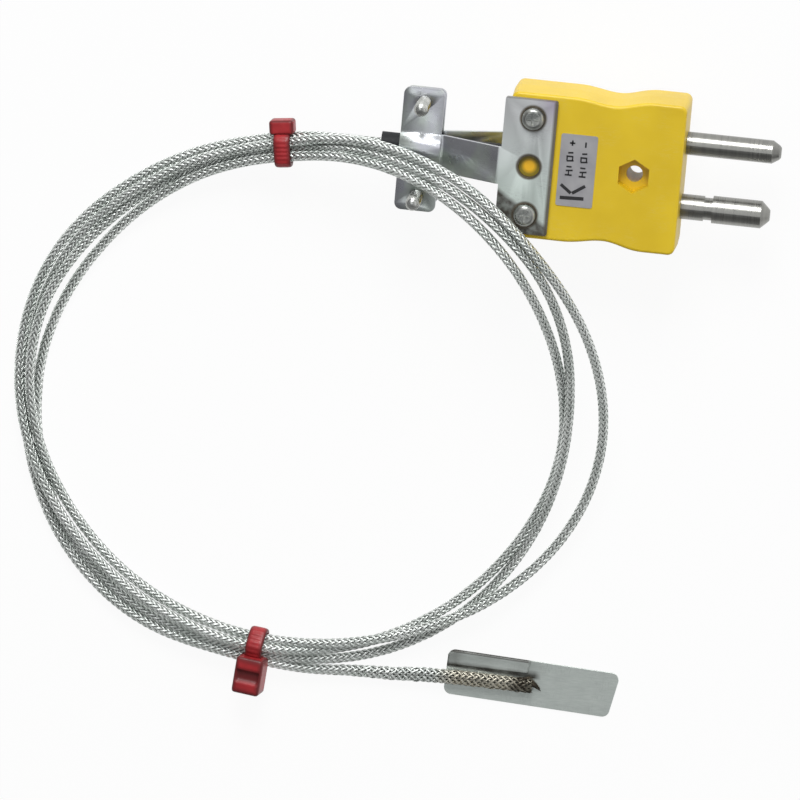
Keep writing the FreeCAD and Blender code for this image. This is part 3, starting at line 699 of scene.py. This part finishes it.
def make_braid_tree():
    """Ribbons wound one way round a line, each over two and under two of the other way's."""
    tree, given, out = new_tree("braided ribbons", [
        ("Way", "Float"), ("Ribbons", "Int"), ("Lay", "Float"), ("Radius", "Float"),
        ("Rise", "Float"), ("Width", "Float"), ("Thickness", "Float"), ("Step", "Float"),
        ("Begin", "Float"), ("End", "Float"), ("Flare begin", "Float"), ("Flare length", "Float"),
        ("Flare", "Float"), ("Unevenness", "Float"), ("Line length", "Float"),
        ("Wire", "Material")])
    line = step(tree, "MeshToCurve", {"Mesh": given["Shape"]})
    line = step(tree, "ResampleCurve", {"Curve": line, "Length": given["Step"]}, mode="LENGTH")
    run = add(tree, "GeometryNodeSplineParameter").outputs["Length"]
    line = stored(tree, line, "run", run)
    line = step(tree, "TrimCurve", {"Curve": line, 4: given["Begin"], 5: given["End"]},
                mode="LENGTH")
    copies = add(tree, "GeometryNodeDuplicateElements",
                 {"Geometry": line, "Amount": given["Ribbons"]}, domain="SPLINE")
    index = copies.outputs["Duplicate Index"]
    run = named(tree, "run")
    turns = maths(tree, "DIVIDE", run, given["Lay"])
    share = maths(tree, "DIVIDE", index, given["Ribbons"])
    angle = times(tree, math.tau, maths(tree, "MULTIPLY_ADD", turns, given["Way"], share))
    crossings = times(tree, times(tree, 2, given["Ribbons"]), turns)
    phase = minus(tree, maths(tree, "MULTIPLY_ADD", index, 2,
                              times(tree, crossings, given["Way"])), 0.5)
    weave = times(tree, given["Way"],
                  maths(tree, "COSINE", times(tree, phase, math.pi / 2)))
    flared = add(tree, "ShaderNodeMapRange", {
        "Value": minus(tree, run, given["Flare begin"]), "From Min": 0.0,
        "From Max": given["Flare length"]}, interpolation_type="SMOOTHSTEP").outputs["Result"]
    wide = maths(tree, "MULTIPLY_ADD", flared, given["Flare"], 1.0)
    flat = maths(tree, "MULTIPLY_ADD", flared, -FLARE_FLATTENS, 1.0)
    tangent = step(tree, "InputTangent")
    side = vectors(tree, "NORMALIZE", vectors(tree, "CROSS_PRODUCT", tangent, (0, 0, 1)))
    upward = vectors(tree, "CROSS_PRODUCT", side, tangent)
    bulge = times(tree, weave, given["Rise"])
    uneven = add(tree, "ShaderNodeTexNoise", {
        "Vector": step(tree, "InputPosition"), "Scale": UNEVEN_SCALE, "W": index,
        "Detail": 1.0}, noise_dimensions="4D").outputs["Fac"]
    uneven = times(tree, minus(tree, uneven, 0.5), given["Unevenness"])
    loose = maths(tree, "MULTIPLY_ADD", flared, FLARE_LOOSENS, 1.0)
    bulge = maths(tree, "ADD", bulge, times(tree, uneven, loose))
    reach = maths(tree, "MULTIPLY_ADD", wide, given["Radius"], bulge)
    height = maths(tree, "MULTIPLY_ADD", flat, given["Radius"], bulge)
    cosine, sine = maths(tree, "COSINE", angle), maths(tree, "SINE", angle)
    outward = vectors(tree, "ADD", vectors(tree, "SCALE", side, scale=cosine),
                      vectors(tree, "SCALE", upward, scale=sine))
    moved = vectors(tree, "ADD",
                    vectors(tree, "SCALE", side, scale=times(tree, cosine, reach)),
                    vectors(tree, "SCALE", upward, scale=times(tree, sine, height)))
    shape = stored(tree, copies.outputs["Geometry"], "outward", outward, "FLOAT_VECTOR")
    to_end = minus(tree, given["Line length"], run)
    for label, (begins, full) in (("shade", STRAW_END), ("burn", BURNT_END)):
        shape = stored(tree, shape, label, spread(tree, to_end, begins * MM, full * MM))
    shape = step(tree, "SetPosition", {"Geometry": shape, "Offset": moved})
    shape = step(tree, "SetCurveNormal",
                 {"Curve": shape, "Normal": named(tree, "outward", "FLOAT_VECTOR")}, mode="FREE")
    section = step(tree, "CurvePrimitiveCircle", {"Resolution": 4, "Radius": 1.0}, mode="RADIUS")
    section = stored(tree, section, "across", coordinates(tree, step(tree, "InputPosition"))["Y"])
    size = add(tree, "ShaderNodeCombineXYZ", {"X": given["Thickness"], "Y": given["Width"],
                                              "Z": 1.0}).outputs["Vector"]
    section = step(tree, "Transform", {
        "Geometry": section, "Scale": vectors(tree, "SCALE", size, scale=0.5)})
    mesh = step(tree, "CurveToMesh", {
        "Curve": shape, "Profile Curve": section, "Fill Caps": True})
    end_tree(tree, mesh, given["Wire"], out)
    return tree


BRAID_TREE = make_braid_tree()


def line_mesh(name, points):
    """A run of edges along points that are already in metres."""
    mesh = bpy.data.meshes.new(name)
    mesh.from_pydata(points, [(i, i + 1) for i in range(len(points) - 1)], [])
    return mesh


def braid():
    """The wire braid over the whole lead, in stretches, one piece for each way of winding."""
    made = []
    for part in range(BRAID_PARTS):
        begin, end = (LEAD_LENGTH * (part + i) / BRAID_PARTS for i in (0, 1))
        for label, way in (("right", 1.0), ("left", -1.0)):
            made.append(grown(
                f"braid_{label}_{part + 1}", line_mesh("lead line", centre_path), BRAID_TREE,
                "braid", Way=way, Ribbons=RIBBONS, Lay=LAY * MM, Radius=0.735 * MM, Rise=0.085 * MM,
                Width=0.5 * MM, Thickness=0.16 * MM, Step=0.26 * MM, Begin=begin, End=end,
                Flare_begin=LEAD_LENGTH - TAIL_FLARE * MM, Flare_length=22 * MM, Flare=0.58,
                Unevenness=0.10 * MM, Line_length=LEAD_LENGTH, Wire=BRAID))
    return made


braid_pieces = braid()
core_curve = lead_curve("lead_core", 1.24)
core_curve.data.materials.append(SHADED_CORE)
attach(core_curve, BODY)
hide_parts("lead_start", "lead_coil", "lead_tail", "braid_end")


# ---------------------------------------------------------------- clamp sheets

def eased_copy(node, name, material, width):
    """A carried-over shape with its sharp edges rolled over, in place of the plain one."""
    bm = bmesh.new()
    bm.from_mesh(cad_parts[node].data)
    bmesh.ops.remove_doubles(bm, verts=bm.verts, dist=0.002 * MM)
    flat = math.radians(1.0)
    bmesh.ops.dissolve_limit(bm, angle_limit=flat, verts=bm.verts, edges=bm.edges)
    obj = piece(name, finished(bm, name, width), material)
    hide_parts(node)


for level in ("upper", "lower"):
    eased_copy(level + "_bracket", level + "_clamp_sheet", SHEET_STEEL, 0.13)


# ---------------------------------------------------------------- clamp studs

CLAMP_SCREW = (-28.85, 8.25)
STUD_R = 1.25
STUD_TOP = 18.5
STUD_SEAT = 6.5
THREAD_PITCH, THREAD_DEPTH = 0.45, 0.2
STEPS_PER_THREAD = 8
STUD_END = (0.5, 0.74)  # the length of its tapered end, and how thin that gets
STUD_HEAD = [(0.8, 5.3), (1.35, 5.35), (1.6, 5.6), (1.65, 6.2), (1.65, STUD_SEAT)]


def make_thread_tree():
    """A round stud with a thread rolled into it: rings shifted round a helix."""
    tree, given, out = new_tree("rolled thread", [
        ("Radius", "Float"), ("Depth", "Float"), ("Pitch", "Float"), ("Length", "Float"),
        ("Sides", "Int"), ("Steps", "Int"), ("Metal", "Material")])
    rod = step(tree, "MeshCylinder", {
        "Vertices": given["Sides"], "Side Segments": given["Steps"], "Radius": given["Radius"],
        "Depth": given["Length"]}, fill_type="NGON")
    place = coordinates(tree, step(tree, "InputPosition"))
    angle = maths(tree, "ARCTAN2", place["Y"], place["X"])
    turn = minus(tree, maths(tree, "DIVIDE", place["Z"], given["Pitch"]),
                 maths(tree, "DIVIDE", angle, math.tau))
    groove = maths(tree, "ABSOLUTE", minus(tree, maths(tree, "FRACT", turn), 0.5))
    from_top = minus(tree, times(tree, given["Length"], 0.5), place["Z"])
    end = spread(tree, from_top, 0.0, STUD_END[0] * MM, STUD_END[1], 1.0)
    cut_in = maths(tree, "DIVIDE", times(tree, given["Depth"], 2), given["Radius"])
    size = times(tree, minus(tree, 1.0, times(tree, groove, cut_in)), end)
    moved = add(tree, "ShaderNodeCombineXYZ", {
        "X": times(tree, place["X"], size), "Y": times(tree, place["Y"], size), "Z": place["Z"]})
    shape = step(tree, "SetPosition", {"Geometry": rod, "Position": moved.outputs[0]})
    copies = step(tree, "InstanceOnPoints", {"Points": given["Shape"], "Instance": shape})
    end_tree(tree, copies, given["Metal"], out)
    return tree


def lathe(bm, profile, centre, sides=32):
    """A closed turned shape from (radius, height) stations, about an upright axis."""
    rings = []
    for radius, height in profile:
        rings.append([bm.verts.new(Vector((
            centre[0] + radius * math.cos(math.tau * i / sides),
            centre[1] + radius * math.sin(math.tau * i / sides), height)) * MM)
            for i in range(sides)])
    skin(bm, rings)


def clamp_studs():
    """Threaded screws through the clamp's tabs, heads below, round-cornered ends above."""
    spots = [(CLAMP_SCREW[0], side * CLAMP_SCREW[1], (STUD_TOP + STUD_SEAT) / 2)
             for side in (1, -1)]
    length = STUD_TOP - STUD_SEAT
    studs = grown("clamp_studs", mesh_from("stud places", spots, []), make_thread_tree(),
                  "screw_metal", Radius=STUD_R * MM, Depth=THREAD_DEPTH * MM,
                  Pitch=THREAD_PITCH * MM, Length=length * MM, Sides=40,
                  Steps=int(length / THREAD_PITCH * STEPS_PER_THREAD), Metal=STUD_METAL)
    bm = bmesh.new()
    for x, y, _ in spots:
        lathe(bm, STUD_HEAD, (x, y))
    piece("clamp_screw_heads", finished(bm, "clamp_screw_heads", 0.1), SCREW_METAL)
    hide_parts("clamp_screws")


clamp_studs()


# ---------------------------------------------------------------- label printing

LABEL_TOP = 15.62
# marks as (x, y, length along, width, turn): a heavy bar and chevron, then two rows of small
# strokes, each row closed by its pole's sign
LABEL_MARKS = [
    (-1.9, -4.83, 4.1, 0.6, 2), (-3.05, -3.3, 2.3, 0.55, -37), (-0.85, -3.25, 2.6, 0.55, 34),
    (-2.59, 4.75, 0.95, 0.3, 0), (-2.59, 4.75, 0.95, 0.3, 90), (-0.29, 4.64, 0.95, 0.3, 90),
]
for row_x, starts in ((-2.85, (-0.85, -0.05, 0.6, 1.65, 2.4, 3.05)),
                      (-0.45, (-0.95, -0.15, 0.55, 1.6, 2.35, 3.05))):
    LABEL_MARKS += [(row_x + 0.1 * (i % 2), y, 1.2 - 0.3 * (i % 3 == 2), 0.3, 6 * (i % 2))
                    for i, y in enumerate(starts)]
    LABEL_MARKS += [(row_x, (starts[0] + starts[1]) / 2, 0.24, 0.75, 0),
                    (row_x - 0.45, (starts[3] + starts[4]) / 2, 0.24, 0.75, 0),
                    (row_x + 0.5, (starts[3] + starts[4]) / 2, 0.24, 0.75, 0)]


def label_printing():
    """The label's dark marks, a hair proud of the foil, with rounded ends."""
    bm = bmesh.new()
    for x, y, length, width, turn in LABEL_MARKS:
        made = bmesh.ops.create_cube(bm, size=1.0)["verts"]
        bmesh.ops.scale(bm, vec=Vector((length, width, 0.04)) * MM, verts=made)
        place = Matrix.Translation(Vector((x, y, LABEL_TOP + 0.008)) * MM)
        bmesh.ops.transform(bm, matrix=place @ Matrix.Rotation(math.radians(turn), 4, "Z"),
                            verts=made)
    piece("label_printing", finished(bm, "label_printing", 0.012, 1, 60), INK,
          smooth=False)


label_printing()


# ---------------------------------------------------------------- cable ties

STRAP_THICK = 0.85
TIE_GAP = 0.12
BUNDLE = (40, 50.5)  # the radii between which the tied passes lie
STRAP_RIB = 0.045
HEAD_EDGE = 0.6
WINDOW_DEPTH = 0.8
TIES = {
    "top_tie": {"bearing": 97.8, "lean": -5, "width": 2.9, "head": (47.2, 49.8, 4.3),
                "head_z": (0.3, 3.4), "window": None},
    "bottom_tie": {"bearing": 265.7, "lean": 9, "width": 3.0, "head": (46.6, 53.1, 4.9),
                   "head_z": (0.5, 5.1), "window": (-0.3, 0.35)},
}


def tie_frame(bearing, lean):
    """The tie's own axes: outward, along the turns, up; leaned about the outward one."""
    outward = Matrix.Rotation(math.radians(bearing), 4, "Z")
    leaned = Matrix.Rotation(math.radians(lean), 4, "X")
    centre = Vector((*COIL_CENTRE, lift(bearing))) * MM
    return Matrix.Translation(centre) @ outward @ leaned


def strands_in_tie(where):
    """Where the lead's passes cross the tie's plane: (out, up) in millimetres."""
    back = where.inverted()
    local = [back @ p for p in centre_path]
    spots = []
    for a, b in zip(local, local[1:]):
        if a.y * b.y <= 0 and abs(b.y - a.y) > 1e-9:
            p = a.lerp(b, a.y / (a.y - b.y)) / MM
            if BUNDLE[0] < p.x < BUNDLE[1]:
                spots.append((p.x, p.z))
    return spots


def hull(points):
    """The points on the outside, anticlockwise."""
    points = sorted(set(points))
    halves = []
    for run in (points, points[::-1]):
        half = []
        for p in run:
            while len(half) > 1 and ((half[-1][0] - half[-2][0]) * (p[1] - half[-2][1])
                                     - (half[-1][1] - half[-2][1]) * (p[0] - half[-2][0])) <= 0:
                half.pop()
            half.append(p)
        halves += half[:-1]
    return halves


def even_loop(points, count):
    """The loop as evenly spaced, slightly softened points."""
    closed = np.array(points + points[:1])
    steps = np.r_[0, np.cumsum(np.hypot(*np.diff(closed, axis=0).T))]
    at = np.linspace(0, steps[-1], count, endpoint=False)
    loop = np.c_[np.interp(at, steps, closed[:, 0]), np.interp(at, steps, closed[:, 1])]
    for _ in range(4):
        loop = (np.roll(loop, 1, 0) + 2 * loop + np.roll(loop, -1, 0)) / 4
    return loop


def tie_strap(bm, rim, where, width):
    """A crowned strap pulled tight round the passes, with ratchet ribs over its top."""
    clear = LEAD / 2 + TIE_GAP + STRAP_THICK / 2
    ring = [(x + clear * math.cos(a), z + clear * math.sin(a))
            for x, z in strands_in_tie(where)
            for a in np.linspace(0, math.tau, 24, endpoint=False)]
    loop = even_loop(hull(ring), 140)
    ahead = np.roll(loop, -1, 0) - np.roll(loop, 1, 0)
    outward = np.c_[ahead[:, 1], -ahead[:, 0]] / np.hypot(*ahead.T)[:, None]
    sides = 18
    rings = []
    for i, (place, normal) in enumerate(zip(loop, outward)):
        over = max(0.0, normal[1]) ** 2
        rib = STRAP_RIB * over * (1 if i % 6 < 3 else -1)
        row = []
        for j in range(sides):
            a = math.tau * j / sides
            across = math.copysign(abs(math.cos(a)) ** 0.45, math.cos(a))
            rise = math.copysign(abs(math.sin(a)) ** 0.7, math.sin(a)) * STRAP_THICK / 2
            if rise > 0:
                rise += rib * (abs(across) < 0.72)
            spot = Vector((place[0] + normal[0] * rise, across * width / 2,
                           place[1] + normal[1] * rise)) * MM
            vert = bm.verts.new(where @ spot)
            # painted shade towards the strap's edges
            vert[rim] = min(1.0, max(0.0, (abs(across) - 0.55) / 0.4))
            row.append(vert)
        rings.append(row)
    skin(bm, rings, closed=True)


def rounded_block(bm, rim, where, low, high, radius, window=None, cells=16):
    """A block with well rounded edges, and a sunk window in its top if one is given."""
    centre = [(a + b) / 2 for a, b in zip(low, high)]
    half = [(b - a) / 2 for a, b in zip(low, high)]
    made = {}

    def corner(a, b, c):
        key = (a, b, c)
        if key in made:
            return made[key]
        unit = [2 * v / cells - 1 for v in key]
        full = Vector([u * h for u, h in zip(unit, half)])
        core = Vector([max(-(h - radius), min(h - radius, f)) for f, h in zip(full, half)])
        away = full - core
        if away.length > 1e-9:
            reach = max(abs(v) for v in away)
            full = core + away.normalized() * min(away.length, max(reach, radius))
        # painted shade towards the head's edges, and deeper painted shade in its sunk window
        near = sorted(abs(u) for u in unit)[1]
        shade = min(1.0, max(0.0, (near - 0.62) / 0.33))
        if window and c == cells and window[0] < unit[0] < window[1] and abs(unit[1]) < 0.8:
            full.z -= WINDOW_DEPTH
            shade = 0.9
        vert = bm.verts.new(where @ ((full + Vector(centre)) * MM))
        vert[rim] = shade
        made[key] = vert
        return vert

    for axis in range(3):
        for side in (0, cells):
            for i in range(cells):
                for j in range(cells):
                    quad = []
                    for u, v in ((i, j), (i + 1, j), (i + 1, j + 1), (i, j + 1)):
                        key = [u, v]
                        key.insert(axis, side)
                        quad.append(corner(*key))
                    bm.faces.new(quad)


def tie(name, bearing, lean, width, head, head_z, window):
    """One nylon tie: its strap and the ratchet head that the strap runs through."""
    where = tie_frame(bearing, lean)
    bm = bmesh.new()
    rim = bm.verts.layers.float.new("rim")
    tie_strap(bm, rim, where, width)
    rounded_block(bm, rim, where, (head[0], -head[2] / 2, head_z[0]),
                  (head[1], head[2] / 2, head_z[1]), HEAD_EDGE, window)
    name_of_piece = name + "_strap_and_head"
    obj = piece(name_of_piece, closed_mesh(bm, name_of_piece), RED)
    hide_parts(name)
    return obj


tie_pieces = [tie(name, **sizes) for name, sizes in TIES.items()]


# ---------------------------------------------------------------- sensor patch

PATCH_CENTRE = (-1.95, -94.3)
PATCH_TURN = math.radians(-2.4)
PATCH_SIZE = (30.2, 8.0)
PATCH_THICK = 0.3
PATCH_SLANT = 1.3
PATCH_CORNER = 1.3
LEAF = 14.4
LEAF_SLANT = 0.3
LEAF_EDGE = (1.3, 1.7)
LEAF_FOOT, LEAF_TOP = 0.2, 0.5
LEAF_LIP, LEAF_RIPPLE = 0.12, 0.04
LEAF_THICK = 0.2


def patch_place():
    centre = Vector((*PATCH_CENTRE, 0)) * MM
    return Matrix.Translation(centre) @ Matrix.Rotation(PATCH_TURN, 4, "Z")


def rounded_outline(corners, radius, steps=8):
    """A closed outline with each corner turned as an arc."""
    outline = []
    for i, corner in enumerate(corners):
        here = Vector(corner)
        before = (Vector(corners[i - 1]) - here).normalized()
        after = (Vector(corners[(i + 1) % len(corners)]) - here).normalized()
        half = before.angle(after) / 2
        centre = here + (before + after).normalized() * radius / math.sin(half)
        start = here + before * radius / math.tan(half) - centre
        end = here + after * radius / math.tan(half) - centre
        sweep = start.angle_signed(end)
        for k in range(steps + 1):
            turned = Matrix.Rotation(-sweep * k / steps, 2) @ start
            outline.append(centre + turned)
    return outline


def patch_sheet_piece():
    """The patch: a thin rounded sheet whose one edge is rolled over as a leaf by the braid."""
    half, top = PATCH_SIZE[0] / 2, PATCH_SIZE[1] / 2
    corners = [(-half, -top), (half - PATCH_SLANT, -top), (half, top), (-half, top)]
    place = patch_place()
    bm = bmesh.new()
    base = bm.faces.new([bm.verts.new(place @ (Vector((*p, 0)) * MM))
                         for p in rounded_outline(corners, PATCH_CORNER)])
    grown_up = bmesh.ops.extrude_face_region(bm, geom=[base])["geom"]
    raised = [v for v in grown_up if isinstance(v, bmesh.types.BMVert)]
    bmesh.ops.translate(bm, vec=Vector((0, 0, PATCH_THICK * MM)), verts=raised)
    sheet = piece("patch_base_sheet", finished(bm, "patch_base_sheet", 0.06), PATCH)
    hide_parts("sensor_patch")

    across, lengths = 12, 44
    points = []
    for i in range(lengths + 1):
        share = i / lengths
        for j in range(across + 1):
            fold = j / across
            # the free corner is cut back at a slant, and the left end follows the sheet's corner
            end_x = -half + LEAF - LEAF_SLANT * fold
            x = -half + 0.05 + share * (end_x + half - 0.05)
            inset = max(0.0, PATCH_CORNER - (x + half))
            rounding = math.sqrt(max(0.0, PATCH_CORNER ** 2 - inset ** 2))
            edge = top - 0.1 - (PATCH_CORNER - rounding)
            free = LEAF_EDGE[0] + (LEAF_EDGE[1] - LEAF_EDGE[0]) * share
            y = edge + (free - edge) * max(0.0, fold * 1.06 - 0.06)
            bulge = math.sin(min(1.0, fold * 8) * math.pi / 2)
            ripple = LEAF_RIPPLE * math.sin(share * 9 + fold * 2) * fold
            z = LEAF_FOOT + (LEAF_TOP - LEAF_FOOT) * bulge + LEAF_LIP * fold ** 3 + ripple
            points.append((x, y, z))
    faces = [(i * (across + 1) + j, (i + 1) * (across + 1) + j, (i + 1) * (across + 1) + j + 1,
              i * (across + 1) + j + 1) for i in range(lengths) for j in range(across)]
    mesh = mesh_from("leaf skin", points, faces)
    mesh.transform(place)
    obj = placed("leaf skin", mesh)
    wall = obj.modifiers.new("thickness", "SOLIDIFY")
    wall.thickness, wall.offset = LEAF_THICK * MM, 0
    leaf = piece("patch_folded_leaf", applied(obj), PATCH)
    return sheet, leaf


def tapered_tube(bm, stations, sides=12):
    """A closed tube through (point, radius) stations in millimetres."""
    rings = []
    for i, (place, radius) in enumerate(stations):
        before, after = stations[max(i - 1, 0)][0], stations[min(i + 1, len(stations) - 1)][0]
        ahead = (Vector(after) - Vector(before)).normalized()
        side = ahead.cross(Vector((0, 0, 1))).normalized()
        upward = side.cross(ahead)
        rings.append([bm.verts.new((Vector(place) + (side * math.cos(math.tau * j / sides)
                      + upward * math.sin(math.tau * j / sides)) * radius) * MM)
                      for j in range(sides)])
    skin(bm, rings)


# the two conductors flattened to a weld, as (point, radius) stations
WELD_WIRES = [
    [((-3.0, -93.9, 0.9), 0.34), ((-2.2, -94.1, 0.8), 0.45), ((-1.5, -94.5, 0.65), 0.36),
     ((-0.9, -94.95, 0.5), 0.2), ((-0.3, -95.4, 0.38), 0.06)],
    [((-2.6, -93.3, 0.9), 0.22), ((-1.9, -93.7, 0.8), 0.24), ((-1.2, -94.3, 0.6), 0.2),
     ((-0.5, -95.0, 0.42), 0.08)],
]
FRAYED = 46
BRAID_END = (-3.2, -94.42, 1.12)
BRAID_END_HALF = (1.22, 0.8)


def weld_and_fray():
    """The junction: the two wires' weld, and cut braid wires spread round it."""
    draw = np.random.default_rng(11)
    bm = bmesh.new()
    for stations in WELD_WIRES:
        tapered_tube(bm, stations)
    weld = piece("junction_weld", closed_mesh(bm, "junction_weld"), BURNT)
    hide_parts("junction_bead")

    bm = bmesh.new()
    for i in range(FRAYED):
        angle = math.tau * i / FRAYED
        out_y, out_z = math.cos(angle), math.sin(angle)
        start = Vector((BRAID_END[0] - draw.uniform(0, 1.3),
                        BRAID_END[1] + out_y * BRAID_END_HALF[0],
                        BRAID_END[2] + out_z * BRAID_END_HALF[1]))
        bend = Vector((draw.uniform(0.5, 0.9), out_y * draw.uniform(-0.1, 0.25),
                       -draw.uniform(0.0, 0.2)))
        tip = start + bend + Vector((draw.uniform(0.3, 1.2), draw.uniform(-0.45, 0.35),
                                     -draw.uniform(0.1, 0.5)))
        tip.z = max(tip.z, 0.38)
        tapered_tube(bm, [(start, 0.075), (start.lerp(start + bend, 0.5), 0.07),
                          (start + bend, 0.065), (tip, 0.05)], 5)
    return weld, piece("frayed_wires", closed_mesh(bm, "frayed_wires"), BURNT)


lead_pieces = [*tie_pieces, *patch_sheet_piece(), *weld_and_fray(),
               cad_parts["heat_shrink_sleeve"]]


# ---------------------------------------------------------------- stage and light

LAMPS_AIM = Vector((-0.03, -0.04, 0.0))


def lamp(name, place, size, power):
    """A soft square lamp pointed at the object."""
    light = bpy.data.lights.new(name, "AREA")
    light.size = size
    light.energy = power
    obj = placed(name, light)
    obj.location = place
    obj.rotation_euler = (LAMPS_AIM - Vector(place)).to_track_quat("-Z", "Y").to_euler()


def white_seen(tree, surface, share):
    """Mixes plain white into a surface, as far as the camera and reflections see it."""
    path = add(tree, "ShaderNodeLightPath").outputs
    seen = greatest(tree, path["Is Camera Ray"], path["Is Glossy Ray"],
                    path["Is Transmission Ray"])
    white = add(tree, "ShaderNodeEmission", {"Color": (1, 1, 1, 1), "Strength": 1.0})
    mix = add(tree, "ShaderNodeMixShader", {0: times(tree, seen, share), 1: surface,
                                           2: white.outputs[0]})
    return mix.outputs[0]


def make_floor():
    """A wide pale floor that keeps the object's soft shadow."""
    reach = 8.0
    mesh = bpy.data.meshes.new("floor")
    corners = [(x * reach, y * reach, 0) for x, y in ((-1, -1), (1, -1), (1, 1), (-1, 1))]
    mesh.from_pydata(corners, [], [(0, 1, 2, 3)])
    material = bpy.data.materials.new("floor")
    material.use_nodes = True
    tree = material.node_tree
    tree.nodes.clear()
    matt = add(tree, "ShaderNodeBsdfDiffuse", {"Color": (0.9, 0.9, 0.9, 1)})
    out = add(tree, "ShaderNodeOutputMaterial")
    tree.links.new(white_seen(tree, matt.outputs[0], 0.93), out.inputs["Surface"])
    mesh.materials.append(material)
    placed("floor", mesh)


def make_world():
    """White behind everything; for light and reflections, a room that is dim straight above."""
    world = bpy.data.worlds.new("studio")
    bpy.context.scene.world = world
    world.use_nodes = True
    tree = world.node_tree
    tree.nodes.clear()
    path = add(tree, "ShaderNodeLightPath").outputs
    direction = add(tree, "ShaderNodeTexCoord").outputs["Generated"]
    parts = coordinates(tree, direction)
    ramp = add(tree, "ShaderNodeValToRGB", {"Fac": parts["Z"]})
    from_left = spread(tree, parts["X"], -0.2, -0.7)
    from_below = spread(tree, parts["Y"], -0.25, -0.5)
    shaded = spread(tree, greatest(tree, from_left, from_below), 0, 1, 1.0, 0.35)
    stops = ramp.color_ramp.elements
    stops[0].position, stops[0].color = 0.0, (0.95, 0.95, 0.95, 1)
    stops[1].position, stops[1].color = 1.0, (0.30, 0.31, 0.32, 1)
    for position, grey in ((0.35, 0.75), (0.75, 0.45)):
        stop = stops.new(position)
        stop.color = (grey, grey, grey, 1)
    room = add(tree, "ShaderNodeBackground", {"Color": ramp.outputs["Color"], "Strength": shaded})
    white = add(tree, "ShaderNodeBackground", {"Color": (1, 1, 1, 1), "Strength": 1.0})
    mix = add(tree, "ShaderNodeMixShader", {0: path["Is Camera Ray"], 1: room.outputs[0],
                                           2: white.outputs[0]})
    out = add(tree, "ShaderNodeOutputWorld")
    tree.links.new(mix.outputs[0], out.inputs["Surface"])


make_floor()
make_world()
lamp("key", (-0.05, 0.75, 0.62), size=0.45, power=7.0)
lamp("overhead", (-0.05, 0.10, 0.95), size=0.5, power=0.7)
bpy.context.scene.view_settings.view_transform = "Standard"
